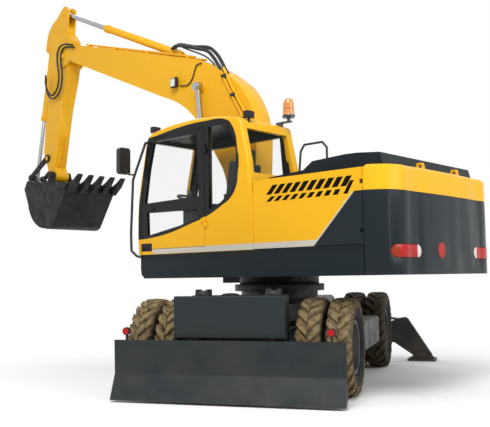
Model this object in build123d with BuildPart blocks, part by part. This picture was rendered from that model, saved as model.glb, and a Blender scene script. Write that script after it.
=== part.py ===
"""Wheeled excavator, 17 t class: every piece is built at full size, in millimetres.

Frame: +X towards the steered axle and the outriggers, +Y to the left, +Z up, origin on the
floor under the slew centre. The upper structure is drawn facing +X and turned by SLEW_DEG
when its pieces are written, so that it stands as parked.
"""
from build123d import *
from math import atan2, cos, degrees, hypot, radians, sin
import os

os.makedirs("parts", exist_ok=True)

# ---------------------------------------------------------------- clearances
RUN_GAP = 0.5       # turning faces and pins in their bores
SIDE_GAP = 3.0      # each side of a lug or a link on its pin
SEAT_GAP = 0.3      # pieces of one body that are bolted face to face
PANEL_GAP = 6.0     # round doors and lids

# ---------------------------------------------------------------- wheels and axles
WHEEL_R = 527.0
TYRE_W = 280.0
TWIN_MID_Y = 950.0      # where the two wheels of a twin are bolted together
TWIN_PITCH = 320.0
RIM_R = 262.0
RIM_W = 210.0
RIM_WALL = 12.0
RIM_LIP = 25.0
DISC_T = 15.0
DISC_FLAT_R = 196.0
HUB_R = 160.0
HUB_FLANGE_T = 14.0
HUB_IN_Y = 700.0
HUB_OUT_Y = 1120.0
HUB_CAP_R = 110.0
REAR_AXLE_X = -1454.0
FRONT_AXLE_X = 1274.0
AXLE_Z = WHEEL_R
AXLE_TUBE_R = 92.0
AXLE_END_R = 150.0
DIFF_R = 215.0
DIFF_HALF_W = 150.0
KINGPIN_Y = 600.0
KNUCKLE_R = 88.0
KNUCKLE_H = 250.0
YOKE_T = 42.0
STEER_ARM_X = 288.0
STEER_ARM_Y = KINGPIN_Y
TIE_ROD_R = 20.0

# ---------------------------------------------------------------- chassis
FRAME_HALF_W = 335.0
FRAME_BOTTOM_Z = 650.0
FRAME_TOP_Z = 1000.0
BLADE_END_X = -1700.0
JACK_END_X = 2070.0
END_PLATE_T = 40.0
END_HALF_W = 545.0
PEDESTAL_R = 500.0
RING_R = 585.0
RING_BOTTOM_Z = 1110.0
RING_TOP_Z = 1195.0
STEP_BOX_X = (-860.0, 430.0)
STEP_BOX_Y = (690.0, 1225.0)
STEP_BOX_Z = (430.0, 760.0)

# ---------------------------------------------------------------- blade and its linkage
BLADE_HALF_W = 1248.0
BLADE_EDGE = (-2349.0, 24.0)        # x, z of the cutting edge
BLADE_KINK = (-2231.0, 290.0)
BLADE_TOP = (-2242.0, 641.0)
BLADE_T = 22.0
BLADE_LINK_Y = 400.0
LOWER_PIVOT = (-1800.0, 400.0)      # x, z on the chassis
LINK_RISE = 165.0                   # the upper link's pins lie this far above
UPPER_LINK_Y = 265.0
LOWER_EYE = (-2150.0, 130.0)        # x, z on the blade
BLADE_PIN_R = 25.0
BLADE_RAM_HEAD = (-1800.0, 1100.0)  # x, z of the cylinders' upper pins
BLADE_RAM_EYE = (-2010.0, 330.0)    # x, z on the lower arms
GUARD_X = -2130.0
GUARD_T = 100.0
GUARD_Z = (652.0, 1095.0)
GUARD_HALF_W = 608.0

# ---------------------------------------------------------------- outriggers
JACK_X = 2180.0
JACK_HINGE = (620.0, 330.0)         # y, z
JACK_KNEE = (1385.0, 610.0)         # y, z of the rod's eye
JACK_FOOT = (1640.0, 70.0)          # y, z at the pad
JACK_RAM_BASE = (190.0, 760.0)      # y, z
JACK_ARM_T = 90.0
JACK_PIN_R = 30.0

# ---------------------------------------------------------------- upper structure
SLEW_DEG = 64.8
HALF_W = 1226.5
DECK_Z = 1290.0
DECK_T = 30.0
SKIRT_TOP_Z = 1600.0
SIDE_TOP_Z = 2390.0
CAB_FRONT_X = 1344.0
CAB_BACK_X = -640.0
CAB_RIGHT_Y = 280.0
CAB_WALL = 60.0
TAIL_SEAM_X = -2146.0
TAIL_X = -2440.0
TAIL_TOP_Z = 2410.0
HOOD_HALF_W = 1000.0
BOOM_Y = -60.0

# ---------------------------------------------------------------- boom, arm and bucket
BOOM_FOOT = (480.0, 2050.0)         # x, z of the pins, as parked
BOOM_TIP = (4830.0, 5270.0)
BUCKET_PIN = (5180.0, 3150.0)
BOOM_HALF_W = 170.0
FORK_HALF_W = 131.0
FORK_LEN = 350.0
ARM_HALF_W = 125.0
HEAD_HALF_W = 85.0
HEAD_SLOT = 60.0
FOOT_PIN_R = 50.0
TIP_PIN_R = 45.0
BOOM_RAM_Y = 252.0                  # each side of the boom's middle
BOOM_RAM_BASE = (1060.0, 1750.0)
BOOM_RAM_EYE = (1859.0, 1105.0)     # along and above the boom's pin line
ARM_RAM_BASE = (2839.0, 1249.0)     # along and above the boom's pin line
ARM_RAM_EYE = (-800.0, 250.0)       # along and ahead of the arm's pin line
BUCKET_RAM_BASE = (-190.0, 640.0)   # along and ahead of the arm's pin line
ROCKER_PIN = (1845.0, 235.0)        # along and ahead of the arm's pin line
ROCKER_EYE = (730.0, 35.0)          # x, z from the bucket's pin, as parked
LINK_EYE = (75.0, -301.0)           # x, z from the bucket's pin, as parked


# ---------------------------------------------------------------- working planes
def side_plane(y=0.0, at=(0.0, 0.0), turn=0.0):
    """Upright plane of the side view: local x runs forward (turned up by turn degrees)."""
    a = radians(turn)
    return Plane(origin=(at[0], y, at[1]), x_dir=(cos(a), 0, sin(a)), z_dir=(0, -1, 0))


def end_plane(x=0.0, side=1.0, z=0.0):
    """Upright plane across the machine: local x runs out to the side, local y up."""
    return Plane(origin=(x, 0, z), x_dir=(0, side, 0), z_dir=(side, 0, 0))


def heading(start, end):
    """Angle in degrees of the line from start to end in its own plane."""
    return degrees(atan2(end[1] - start[1], end[0] - start[0]))


def reach(start, end):
    """Length of the line from start to end."""
    return hypot(end[0] - start[0], end[1] - start[1])


def along(start, turn, local):
    """Point of a member: its local (along, above) place, from its first pin."""
    a = radians(turn)
    return (
        start[0] + local[0] * cos(a) - local[1] * sin(a),
        start[1] + local[0] * sin(a) + local[1] * cos(a),
    )


# ---------------------------------------------------------------- shapes added to the piece
def slab(plane, points, width, corner=0.0, mode=Mode.ADD):
    """A flat outline on a plane, grown by half the width to each side of it."""
    with BuildSketch(plane) as flat:
        with BuildLine():
            Polyline(*points, close=True)
        make_face()
        if corner:
            fillet(flat.vertices(), corner)
    extrude(flat.sketch, amount=width / 2, both=True, mode=mode)


def disc(plane, at, radius, width, mode=Mode.ADD):
    """A round boss or hole across a plane, centred on it."""
    with BuildSketch(plane) as flat:
        with Locations(at):
            Circle(radius)
    extrude(flat.sketch, amount=width / 2, both=True, mode=mode)


def bar(start, end, radius, mode=Mode.ADD):
    """A round bar between two points in space."""
    line = Vector(*end) - Vector(*start)
    with BuildSketch(Plane(origin=start, z_dir=line.normalized())) as flat:
        Circle(radius)
    extrude(flat.sketch, amount=line.length, mode=mode)


def block(x, y, z, mode=Mode.ADD):
    """A block from its lowest to its highest x, y and z."""
    middle = ((x[0] + x[1]) / 2, (y[0] + y[1]) / 2, (z[0] + z[1]) / 2)
    with Locations(middle):
        Box(x[1] - x[0], y[1] - y[0], z[1] - z[0], mode=mode)


def turned(plane, axis, points):
    """A section on the plane turned right round the axis."""
    with BuildSketch(plane) as flat:
        with BuildLine():
            Polyline(*points, close=True)
        make_face()
    revolve(flat.sketch, axis)


def ram_barrel(plane, length, radius, bore_r, eye_r, pin_r, width):
    """A cylinder's barrel along the plane's x, from its base eye to its gland."""
    disc(plane, (0, 0), eye_r, width)
    start = plane.from_local_coords(Vector(0, 0, 0))
    neck = plane.from_local_coords(Vector(eye_r + 20.0, 0, 0))
    gland = plane.from_local_coords(Vector(length - 90.0, 0, 0))
    end = plane.from_local_coords(Vector(length, 0, 0))
    bar(tuple(start), tuple(neck), min(radius, 0.45 * width))
    bar(tuple(neck), tuple(end), radius)
    bar(tuple(gland), tuple(end), radius + 9.0)
    mouth = plane.from_local_coords(Vector(eye_r + 40.0, 0, 0))
    bar(tuple(mouth), tuple(end), bore_r + RUN_GAP, mode=Mode.SUBTRACT)
    disc(plane, (0, 0), pin_r + RUN_GAP, 4 * width, mode=Mode.SUBTRACT)


def ram_rod(plane, start, end, rod_r, eye_r, width):
    """A cylinder's rod along the plane's x, with the pin held in its closed eye."""
    a = plane.from_local_coords(Vector(start, 0, 0))
    b = plane.from_local_coords(Vector(end, 0, 0))
    bar(tuple(a), tuple(b), rod_r)
    disc(plane, (end, 0), eye_r, width)


def outline(plane, table, width, inset=0.0, mode=Mode.ADD):
    """A flat outline of straights and arcs: rows of (point passed through or None, end)."""
    with BuildSketch(plane) as flat:
        with BuildLine():
            start = table[-1][1]
            for through, end in table:
                if through is None:
                    Line(start, end)
                else:
                    ThreePointArc(start, through, end)
                start = end
        make_face()
        if inset:
            offset(amount=-inset, mode=Mode.REPLACE)
    extrude(flat.sketch, amount=width / 2, both=True, mode=mode)


def tube(points, radius):
    """A round tube along straight runs, with ball corners."""
    for start, end in zip(points, points[1:]):
        bar(start, end, radius)
    for corner in points[1:-1]:
        with Locations(corner):
            Sphere(radius)


def link_bar(start, end, y, width, thick, pin_r):
    """A flat link between two pins, bored at both ends."""
    plane = side_plane(y, start, heading(start, end))
    length = reach(start, end)
    slab(plane, [(0, -thick / 2), (length, -thick / 2), (length, thick / 2), (0, thick / 2)], width)
    for at in (0.0, length):
        disc(plane, (at, 0), pin_r + 22.0, width)
        disc(plane, (at, 0), pin_r + RUN_GAP, 2 * width, mode=Mode.SUBTRACT)


def write(piece, node, turn=0.0):
    """Write one finished piece as its own STEP file, turned with the upper structure."""
    part = piece.part.rotate(Axis.Z, turn) if turn else piece.part
    part.label = node
    export_step(part, f"parts/{node}.step")


# ================================================================ undercarriage
# Main frame: a box girder with the slew pedestal, an end plate for the blade and a cross
# housing for the outriggers.
LINK_LEN = reach(LOWER_PIVOT, LOWER_EYE)
UPPER_PIVOT = (LOWER_PIVOT[0], LOWER_PIVOT[1] + LINK_RISE)
UPPER_EYE = (LOWER_EYE[0], LOWER_EYE[1] + LINK_RISE)
SADDLE_Y = 272.0
ARCH_HALF_L = 240.0
ARCH_TOP_Z = AXLE_Z + DIFF_R + 20.0

with BuildPart() as chassis:
    block((BLADE_END_X, JACK_END_X), (-FRAME_HALF_W, FRAME_HALF_W), (FRAME_BOTTOM_Z, FRAME_TOP_Z))
    edges = chassis.edges().filter_by(Axis.X)
    chamfer(edges, 40.0)
    bar((0, 0, FRAME_TOP_Z - 100.0), (0, 0, RING_BOTTOM_Z), PEDESTAL_R)
    bar((0, 0, FRAME_TOP_Z - 20.0), (0, 0, FRAME_TOP_Z), RING_R + 30.0)
    bar((0, 0, RING_BOTTOM_Z), (0, 0, RING_TOP_Z), RING_R)
    for axle_x in (REAR_AXLE_X, FRONT_AXLE_X):
        block(
            (axle_x - ARCH_HALF_L, axle_x + ARCH_HALF_L),
            (-FRAME_HALF_W, FRAME_HALF_W),
            (FRAME_BOTTOM_Z, ARCH_TOP_Z),
            mode=Mode.SUBTRACT,
        )
        for side in (-1, 1):
            block(
                (axle_x - 90.0, axle_x + 90.0),
                sorted((side * SADDLE_Y, side * FRAME_HALF_W)),
                (AXLE_Z + AXLE_TUBE_R + SEAT_GAP, ARCH_TOP_Z + 20.0),
            )
    # blade end plate with its lugs
    block(
        (BLADE_END_X - END_PLATE_T, BLADE_END_X),
        (-END_HALF_W, END_HALF_W),
        (LOWER_PIVOT[1] - 70.0, GUARD_Z[1]),
    )
    for side in (-1, 1):
        for lug in (-1, 1):
            for link_y, pin, half_gap in (
                (BLADE_LINK_Y, LOWER_PIVOT, 60.0),
                (UPPER_LINK_Y, UPPER_PIVOT, 46.0),
            ):
                slab(
                    side_plane(side * link_y + lug * half_gap),
                    [
                        (BLADE_END_X - END_PLATE_T + 5.0, pin[1] - 60.0),
                        (pin[0] - 45.0, pin[1] - 45.0),
                        (pin[0] - 45.0, pin[1] + 45.0),
                        (BLADE_END_X - END_PLATE_T + 5.0, pin[1] + 60.0),
                    ],
                    26.0,
                )
            slab(
                side_plane(side * BLADE_LINK_Y + lug * 60.0),
                [
                    (BLADE_END_X - END_PLATE_T + 5.0, BLADE_RAM_HEAD[1] - 200.0),
                    (BLADE_RAM_HEAD[0] - 50.0, BLADE_RAM_HEAD[1] - 40.0),
                    (BLADE_RAM_HEAD[0] - 30.0, BLADE_RAM_HEAD[1] + 60.0),
                    (BLADE_END_X, BLADE_RAM_HEAD[1] + 60.0),
                    (BLADE_END_X, BLADE_RAM_HEAD[1] - 200.0),
                ],
                26.0,
            )
        for pin in (LOWER_PIVOT, BLADE_RAM_HEAD):
            disc(side_plane(side * BLADE_LINK_Y), pin, BLADE_PIN_R, 160.0)
        disc(side_plane(side * UPPER_LINK_Y), UPPER_PIVOT, BLADE_PIN_R, 130.0)
    # outrigger cross housing: two plates joined at top and bottom
    for plate in (-1, 1):
        slab(
            end_plane(JACK_X + plate * (JACK_ARM_T / 2 + 26.0)),
            [
                (-JACK_HINGE[0] - 70.0, JACK_HINGE[1] - 70.0),
                (JACK_HINGE[0] + 70.0, JACK_HINGE[1] - 70.0),
                (JACK_HINGE[0] + 70.0, JACK_HINGE[1] + 90.0),
                (FRAME_HALF_W + 40.0, FRAME_TOP_Z - 120.0),
                (-FRAME_HALF_W - 40.0, FRAME_TOP_Z - 120.0),
                (-JACK_HINGE[0] - 70.0, JACK_HINGE[1] + 90.0),
            ],
            30.0,
        )
    block(
        (JACK_END_X, JACK_X - JACK_ARM_T / 2 - 30.0),
        (-FRAME_HALF_W, FRAME_HALF_W),
        (FRAME_BOTTOM_Z, FRAME_TOP_Z - 130.0),
    )
    block(
        (JACK_X - JACK_ARM_T / 2 - 30.0, JACK_X + JACK_ARM_T / 2 + 30.0),
        (-130.0, 130.0),
        (JACK_HINGE[1] - 60.0, FRAME_TOP_Z - 150.0),
    )
    for side in (-1, 1):
        for pin in (JACK_HINGE, JACK_RAM_BASE):
            disc(end_plane(JACK_X, side), pin, JACK_PIN_R, JACK_ARM_T + 60.0)
write(chassis, "chassis_frame")

# Blade guard: a flat box in front of the blade's cylinders, carried by two side plates.
with BuildPart() as guard:
    block((GUARD_X, GUARD_X + GUARD_T), (-GUARD_HALF_W, GUARD_HALF_W), GUARD_Z)
    chamfer(guard.edges().filter_by(Axis.Y), 12.0)
    for side in (-1, 1):
        block(
            (GUARD_X + GUARD_T, BLADE_END_X - END_PLATE_T - SEAT_GAP),
            (side * (END_HALF_W - 10.0) - 10.0, side * (END_HALF_W - 10.0) + 10.0),
            (GUARD_Z[0] + 60.0, GUARD_Z[1] - 20.0),
        )
write(guard, "blade_guard")

# Side step boxes between the wheels, hung from the frame by two beams.
with BuildPart() as step_boxes:
    for side in (-1, 1):
        block(
            STEP_BOX_X,
            sorted((side * STEP_BOX_Y[0], side * STEP_BOX_Y[1])),
            STEP_BOX_Z,
        )
        for beam_x in (STEP_BOX_X[0] + 150.0, STEP_BOX_X[1] - 150.0):
            block(
                (beam_x - 40.0, beam_x + 40.0),
                sorted((side * (FRAME_HALF_W + SEAT_GAP), side * STEP_BOX_Y[0])),
                (FRAME_BOTTOM_Z + 45.0, STEP_BOX_Z[1]),
            )
    chamfer(step_boxes.edges().filter_by(Axis.X).group_by(Axis.Z)[-1], 20.0)
write(step_boxes, "step_boxes")

# Rear axle: banjo housing with its pinion nose, tubes and flared ends.
AXLE_SECTION = [  # out along the axle, radius
    (0.0, DIFF_R),
    (DIFF_HALF_W - 40.0, DIFF_R),
    (DIFF_HALF_W + 60.0, DIFF_R * 0.62),
    (DIFF_HALF_W + 110.0, AXLE_TUBE_R),
]
PINION_R = 85.0
PINION_LEN = 330.0


def axle_housing(axle_x, end_section, nose):
    """Both halves of an axle housing, and its nose towards the gearbox."""
    for side in (-1, 1):
        plane = end_plane(axle_x, side, AXLE_Z)
        axis = Axis((axle_x, 0, AXLE_Z), (0, 1, 0))
        turned(plane, axis, [(0.0, 0.0)] + AXLE_SECTION + end_section + [(end_section[-1][0], 0.0)])
    bar((axle_x, 0, AXLE_Z), (axle_x + nose * PINION_LEN, 0, AXLE_Z), PINION_R)


with BuildPart() as rear_axle:
    axle_housing(
        REAR_AXLE_X,
        [
            (560.0, AXLE_TUBE_R),
            (640.0, AXLE_END_R),
            (HUB_IN_Y - RUN_GAP, AXLE_END_R),
        ],
        1,
    )
write(rear_axle, "rear_axle")

# Steered axle: the same housing, ending in a yoke for each knuckle.
YOKE_BACK_Y = KINGPIN_Y - KNUCKLE_R - 30.0
with BuildPart() as steer_axle:
    axle_housing(FRONT_AXLE_X, [(YOKE_BACK_Y, AXLE_TUBE_R)], -1)
    for side in (-1, 1):
        plane = side_plane(side * (YOKE_BACK_Y - 20.0), (FRONT_AXLE_X, AXLE_Z))
        half_h = KNUCKLE_H / 2 + SIDE_GAP + YOKE_T
        slab(plane, [(-80, -half_h), (80, -half_h), (80, half_h), (-80, half_h)], 44.0)
        for up in (-1, 1):
            z_near = AXLE_Z + up * (KNUCKLE_H / 2 + SIDE_GAP)
            z_far = z_near + up * YOKE_T
            block(
                (FRONT_AXLE_X - 80.0, FRONT_AXLE_X + 80.0),
                sorted((side * (YOKE_BACK_Y - 10.0), side * KINGPIN_Y)),
                sorted((z_near, z_far)),
            )
            bar((FRONT_AXLE_X, side * KINGPIN_Y, z_near), (FRONT_AXLE_X, side * KINGPIN_Y, z_far), 80.0)
            bar(
                (FRONT_AXLE_X, side * KINGPIN_Y, z_near),
                (FRONT_AXLE_X, side * KINGPIN_Y, z_near - up * 60.0),
                30.0,
            )
write(steer_axle, "steer_axle")

# Steering knuckles: a kingpin barrel, a spindle flange and a steering arm.
for side, side_name in ((1, "left"), (-1, "right")):
    with BuildPart() as knuckle:
        king = (FRONT_AXLE_X, side * KINGPIN_Y)
        bar((*king, AXLE_Z - KNUCKLE_H / 2), (*king, AXLE_Z + KNUCKLE_H / 2), KNUCKLE_R)
        bar(
            (FRONT_AXLE_X, side * KINGPIN_Y, AXLE_Z),
            (FRONT_AXLE_X, side * (HUB_IN_Y - RUN_GAP), AXLE_Z),
            HUB_R - 40.0,
        )
        arm_end = (FRONT_AXLE_X + STEER_ARM_X, side * STEER_ARM_Y)
        with BuildSketch(Plane.XY.offset(AXLE_Z - 60.0)) as arm_flat:
            with BuildLine():
                Polyline(
                    (king[0], king[1] + 30.0),
                    (king[0], king[1] - 30.0),
                    (arm_end[0], arm_end[1] - 20.0),
                    (arm_end[0], arm_end[1] + 20.0),
                    close=True,
                )
            make_face()
            with Locations(arm_end):
                Circle(36.0)
        extrude(arm_flat.sketch, amount=35.0)
        for up in (-1, 1):
            z_end = AXLE_Z + up * KNUCKLE_H / 2
            bar((*king, z_end), (*king, z_end - up * 65.0), 30.0 + RUN_GAP, mode=Mode.SUBTRACT)
    write(knuckle, f"knuckle_{side_name}")

# Tie rod: lies just above the steering arms.
with BuildPart() as tie_rod:
    rod_x = FRONT_AXLE_X + STEER_ARM_X
    rod_z = AXLE_Z - 25.0 + RUN_GAP + TIE_ROD_R
    bar((rod_x, -STEER_ARM_Y, rod_z), (rod_x, STEER_ARM_Y, rod_z), TIE_ROD_R)
    for side in (-1, 1):
        bar(
            (rod_x, side * STEER_ARM_Y, rod_z - TIE_ROD_R),
            (rod_x, side * STEER_ARM_Y, rod_z + TIE_ROD_R + 12.0),
            30.0,
        )
write(tie_rod, "tie_rod")

# Driveline: gearbox with its motor and a shaft to each axle.
GEARBOX_X = (-260.0, 160.0)
with BuildPart() as driveline:
    block(GEARBOX_X, (-160.0, 160.0), (AXLE_Z - 110.0, FRAME_BOTTOM_Z - SEAT_GAP))
    chamfer(driveline.edges().filter_by(Axis.X), 30.0)
    bar((GEARBOX_X[1], 60.0, AXLE_Z + 40.0), (GEARBOX_X[1] + 260.0, 60.0, AXLE_Z + 40.0), 70.0)
    rear_nose = REAR_AXLE_X + PINION_LEN
    front_nose = FRONT_AXLE_X - PINION_LEN
    bar((rear_nose + SEAT_GAP, 0, AXLE_Z), (GEARBOX_X[0], 0, AXLE_Z), 42.0)
    bar((GEARBOX_X[1], 0, AXLE_Z), (front_nose - SEAT_GAP, 0, AXLE_Z), 42.0)
    for flange in (rear_nose + SEAT_GAP, front_nose - SEAT_GAP - 30.0):
        bar((flange, 0, AXLE_Z), (flange + 30.0, 0, AXLE_Z), 75.0)
write(driveline, "driveline")

# Twin wheels: two tyres, and two rims bolted to one hub.
RIM_EDGE = RIM_W / 2
RIM_MID = TWIN_PITCH / 2 - HUB_FLANGE_T / 2
SHOULDER = 34.0
TYRE_SECTION = [  # from the tyre's middle, radius
    (-RIM_EDGE + RIM_WALL + 4.0, RIM_R + SEAT_GAP),
    (-RIM_EDGE + RIM_WALL + 4.0, RIM_R + RIM_LIP + 4.0),
    (-TYRE_W / 2 + 18.0, RIM_R + 60.0),
    (-TYRE_W / 2, (RIM_R + WHEEL_R) / 2),
    (-TYRE_W / 2 + 12.0, WHEEL_R - SHOULDER),
    (-TYRE_W / 2 + SHOULDER, WHEEL_R),
]
RIM_SECTION = [  # out from the bolting face, radius
    (0.0, HUB_R - 20.0),
    (0.0, DISC_FLAT_R),
    (RIM_MID - RIM_EDGE - 8.0, RIM_R),
    (RIM_MID - RIM_EDGE - 8.0, RIM_R + RIM_LIP),
    (RIM_MID - RIM_EDGE + RIM_WALL, RIM_R + RIM_LIP),
    (RIM_MID - RIM_EDGE + RIM_WALL, RIM_R),
    (RIM_MID + RIM_EDGE - RIM_WALL, RIM_R),
    (RIM_MID + RIM_EDGE - RIM_WALL, RIM_R + RIM_LIP),
    (RIM_MID + RIM_EDGE, RIM_R + RIM_LIP),
    (RIM_MID + RIM_EDGE, RIM_R - RIM_WALL),
    (RIM_MID - RIM_EDGE + 20.0, RIM_R - RIM_WALL),
    (DISC_T, DISC_FLAT_R - 4.0),
    (DISC_T, HUB_R - 20.0),
]
HUB_SECTION = [  # out along the axle, radius
    (HUB_IN_Y, 0.0),
    (HUB_IN_Y, HUB_R + 10.0),
    (TWIN_MID_Y - HUB_FLANGE_T / 2 - DISC_T, HUB_R + 10.0),
    (TWIN_MID_Y - HUB_FLANGE_T / 2 - DISC_T, DISC_FLAT_R - 10.0),
    (TWIN_MID_Y + HUB_FLANGE_T / 2, DISC_FLAT_R - 10.0),
    (TWIN_MID_Y + HUB_FLANGE_T / 2, HUB_R),
    (HUB_OUT_Y - 50.0, HUB_R - 8.0),
    (HUB_OUT_Y - 40.0, HUB_CAP_R),
    (HUB_OUT_Y, HUB_CAP_R - 10.0),
    (HUB_OUT_Y, 0.0),
]

for axle_x, axle_name in ((REAR_AXLE_X, "rear"), (FRONT_AXLE_X, "front")):
    for side, side_name in ((1, "left"), (-1, "right")):
        plane = end_plane(axle_x, side, AXLE_Z)
        axis = Axis((axle_x, 0, AXLE_Z), (0, 1, 0))
        with BuildPart() as tyres:
            for middle in (TWIN_MID_Y - TWIN_PITCH / 2, TWIN_MID_Y + TWIN_PITCH / 2):
                half = [(middle + u, r) for u, r in TYRE_SECTION]
                other = [(middle - u, r) for u, r in reversed(TYRE_SECTION)]
                turned(plane, axis, half + other)
        write(tyres, f"tyres_{axle_name}_{side_name}")
        with BuildPart() as rims:
            for out in (-1, 1):
                face = TWIN_MID_Y + out * HUB_FLANGE_T / 2
                turned(plane, axis, [(face + out * u, r) for u, r in RIM_SECTION])
            turned(plane, axis, HUB_SECTION)
        write(rims, f"wheels_{axle_name}_{side_name}")

# Blade: curved moldboard with a hard edge, end plates, back ribs and lamp posts.
BLADE_LAMP_Y = 1105.0
with BuildPart() as blade:
    slab(
        side_plane(0.0),
        [
            BLADE_EDGE,
            BLADE_KINK,
            BLADE_TOP,
            (BLADE_TOP[0] + BLADE_T, BLADE_TOP[1]),
            (BLADE_KINK[0] + BLADE_T, BLADE_KINK[1] + 4.0),
            (BLADE_KINK[0] + BLADE_T, BLADE_EDGE[1] + 60.0),
            (BLADE_EDGE[0] + 45.0, BLADE_EDGE[1]),
        ],
        2 * BLADE_HALF_W,
    )
    block(
        (BLADE_TOP[0] + 5.0, BLADE_TOP[0] + 55.0),
        (-BLADE_HALF_W + 20.0, BLADE_HALF_W - 20.0),
        (BLADE_TOP[1] - 70.0, BLADE_TOP[1] - 20.0),
    )
    for side in (-1, 1):
        for link_y, pin, half_gap in (
            (BLADE_LINK_Y, LOWER_EYE, 60.0),
            (UPPER_LINK_Y, UPPER_EYE, 46.0),
        ):
            for lug in (-1, 1):
                slab(
                    side_plane(side * link_y + lug * half_gap),
                    [
                        (BLADE_KINK[0] + 10.0, pin[1] - 55.0),
                        (pin[0] + 40.0, pin[1] - 40.0),
                        (pin[0] + 40.0, pin[1] + 40.0),
                        (BLADE_KINK[0] + 10.0, pin[1] + 80.0),
                    ],
                    26.0,
                )
            disc(side_plane(side * link_y), pin, BLADE_PIN_R, 2 * half_gap + 36.0)
        block(
            (BLADE_TOP[0] + 2.0, BLADE_TOP[0] + 20.0),
            sorted((side * (BLADE_LAMP_Y - 12.0), side * (BLADE_LAMP_Y + 12.0))),
            (BLADE_TOP[1] - 10.0, BLADE_TOP[1] + 60.0),
        )
        bar(
            (BLADE_TOP[0] - 14.0, side * BLADE_LAMP_Y, BLADE_TOP[1] + 92.0),
            (BLADE_TOP[0] + 24.0, side * BLADE_LAMP_Y, BLADE_TOP[1] + 92.0),
            42.0,
        )
write(blade, "blade")


LINK_W = 84.0
UPPER_LINK_W = 58.0
with BuildPart() as blade_arms:
    for side in (-1, 1):
        y = side * BLADE_LINK_Y
        link_bar(LOWER_PIVOT, LOWER_EYE, y, LINK_W, 70.0, BLADE_PIN_R)
        plane = side_plane(y)
        arm_mid = (
            (LOWER_PIVOT[0] + LOWER_EYE[0]) / 2,
            (LOWER_PIVOT[1] + LOWER_EYE[1]) / 2,
        )
        for lug in (-1, 1):
            slab(
                side_plane(y + lug * LINK_W / 2),
                [
                    (arm_mid[0] + 70.0, arm_mid[1] + 45.0),
                    (arm_mid[0] - 70.0, arm_mid[1] - 45.0),
                    (BLADE_RAM_EYE[0] - 32.0, BLADE_RAM_EYE[1] + 10.0),
                    (BLADE_RAM_EYE[0] + 20.0, BLADE_RAM_EYE[1] + 32.0),
                ],
                18.0,
            )
write(blade_arms, "blade_arms")

with BuildPart() as blade_links:
    for side in (-1, 1):
        link_bar(UPPER_PIVOT, UPPER_EYE, side * UPPER_LINK_Y, UPPER_LINK_W, 50.0, BLADE_PIN_R)
write(blade_links, "blade_links")

# Blade cylinders: hung from the head lugs, rods down to the lower arms.
BLADE_RAM_TURN = heading(BLADE_RAM_HEAD, BLADE_RAM_EYE)
BLADE_RAM_LEN = reach(BLADE_RAM_HEAD, BLADE_RAM_EYE)
BLADE_BARREL_LEN = 500.0
BLADE_ROD_R = 27.0
with BuildPart() as blade_barrels:
    for side in (-1, 1):
        plane = side_plane(side * BLADE_LINK_Y, BLADE_RAM_HEAD, BLADE_RAM_TURN)
        ram_barrel(plane, BLADE_BARREL_LEN, 44.0, BLADE_ROD_R, 48.0, BLADE_PIN_R, LINK_W)
write(blade_barrels, "blade_barrels")

with BuildPart() as blade_rods:
    for side in (-1, 1):
        plane = side_plane(side * BLADE_LINK_Y, BLADE_RAM_HEAD, BLADE_RAM_TURN)
        ram_rod(plane, 230.0, BLADE_RAM_LEN, BLADE_ROD_R, 32.0, 60.0)
write(blade_rods, "blade_rods")

# Outriggers: an arm with a forked knee and a foot pad, held by a cylinder above it.
JACK_SLOT = 50.0
JACK_PAD_HALF_L = 160.0
JACK_BARREL_LEN = 620.0
JACK_ROD_R = 22.0
JACK_ARM = [  # y, z
    (JACK_HINGE[0] - 40.0, JACK_HINGE[1] - 55.0),
    (1230.0, 268.0),
    (1500.0, 85.0),
    (1560.0, 30.0),
    (1740.0, 30.0),
    (1790.0, 85.0),
    (1450.0, 620.0),
    (1413.0, 648.0),
    (1346.0, 640.0),
    (JACK_HINGE[0] - 10.0, JACK_HINGE[1] + 60.0),
]
JACK_KNEE_SLOT = [  # y, z
    (1100.0, 720.0),
    (1460.0, 720.0),
    (1460.0, 600.0),
    (JACK_KNEE[0] + 60.0, JACK_KNEE[1] - 45.0),
    (JACK_KNEE[0] + 10.0, JACK_KNEE[1] - 72.0),
    (1300.0, 530.0),
    (1100.0, 500.0),
]
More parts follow.
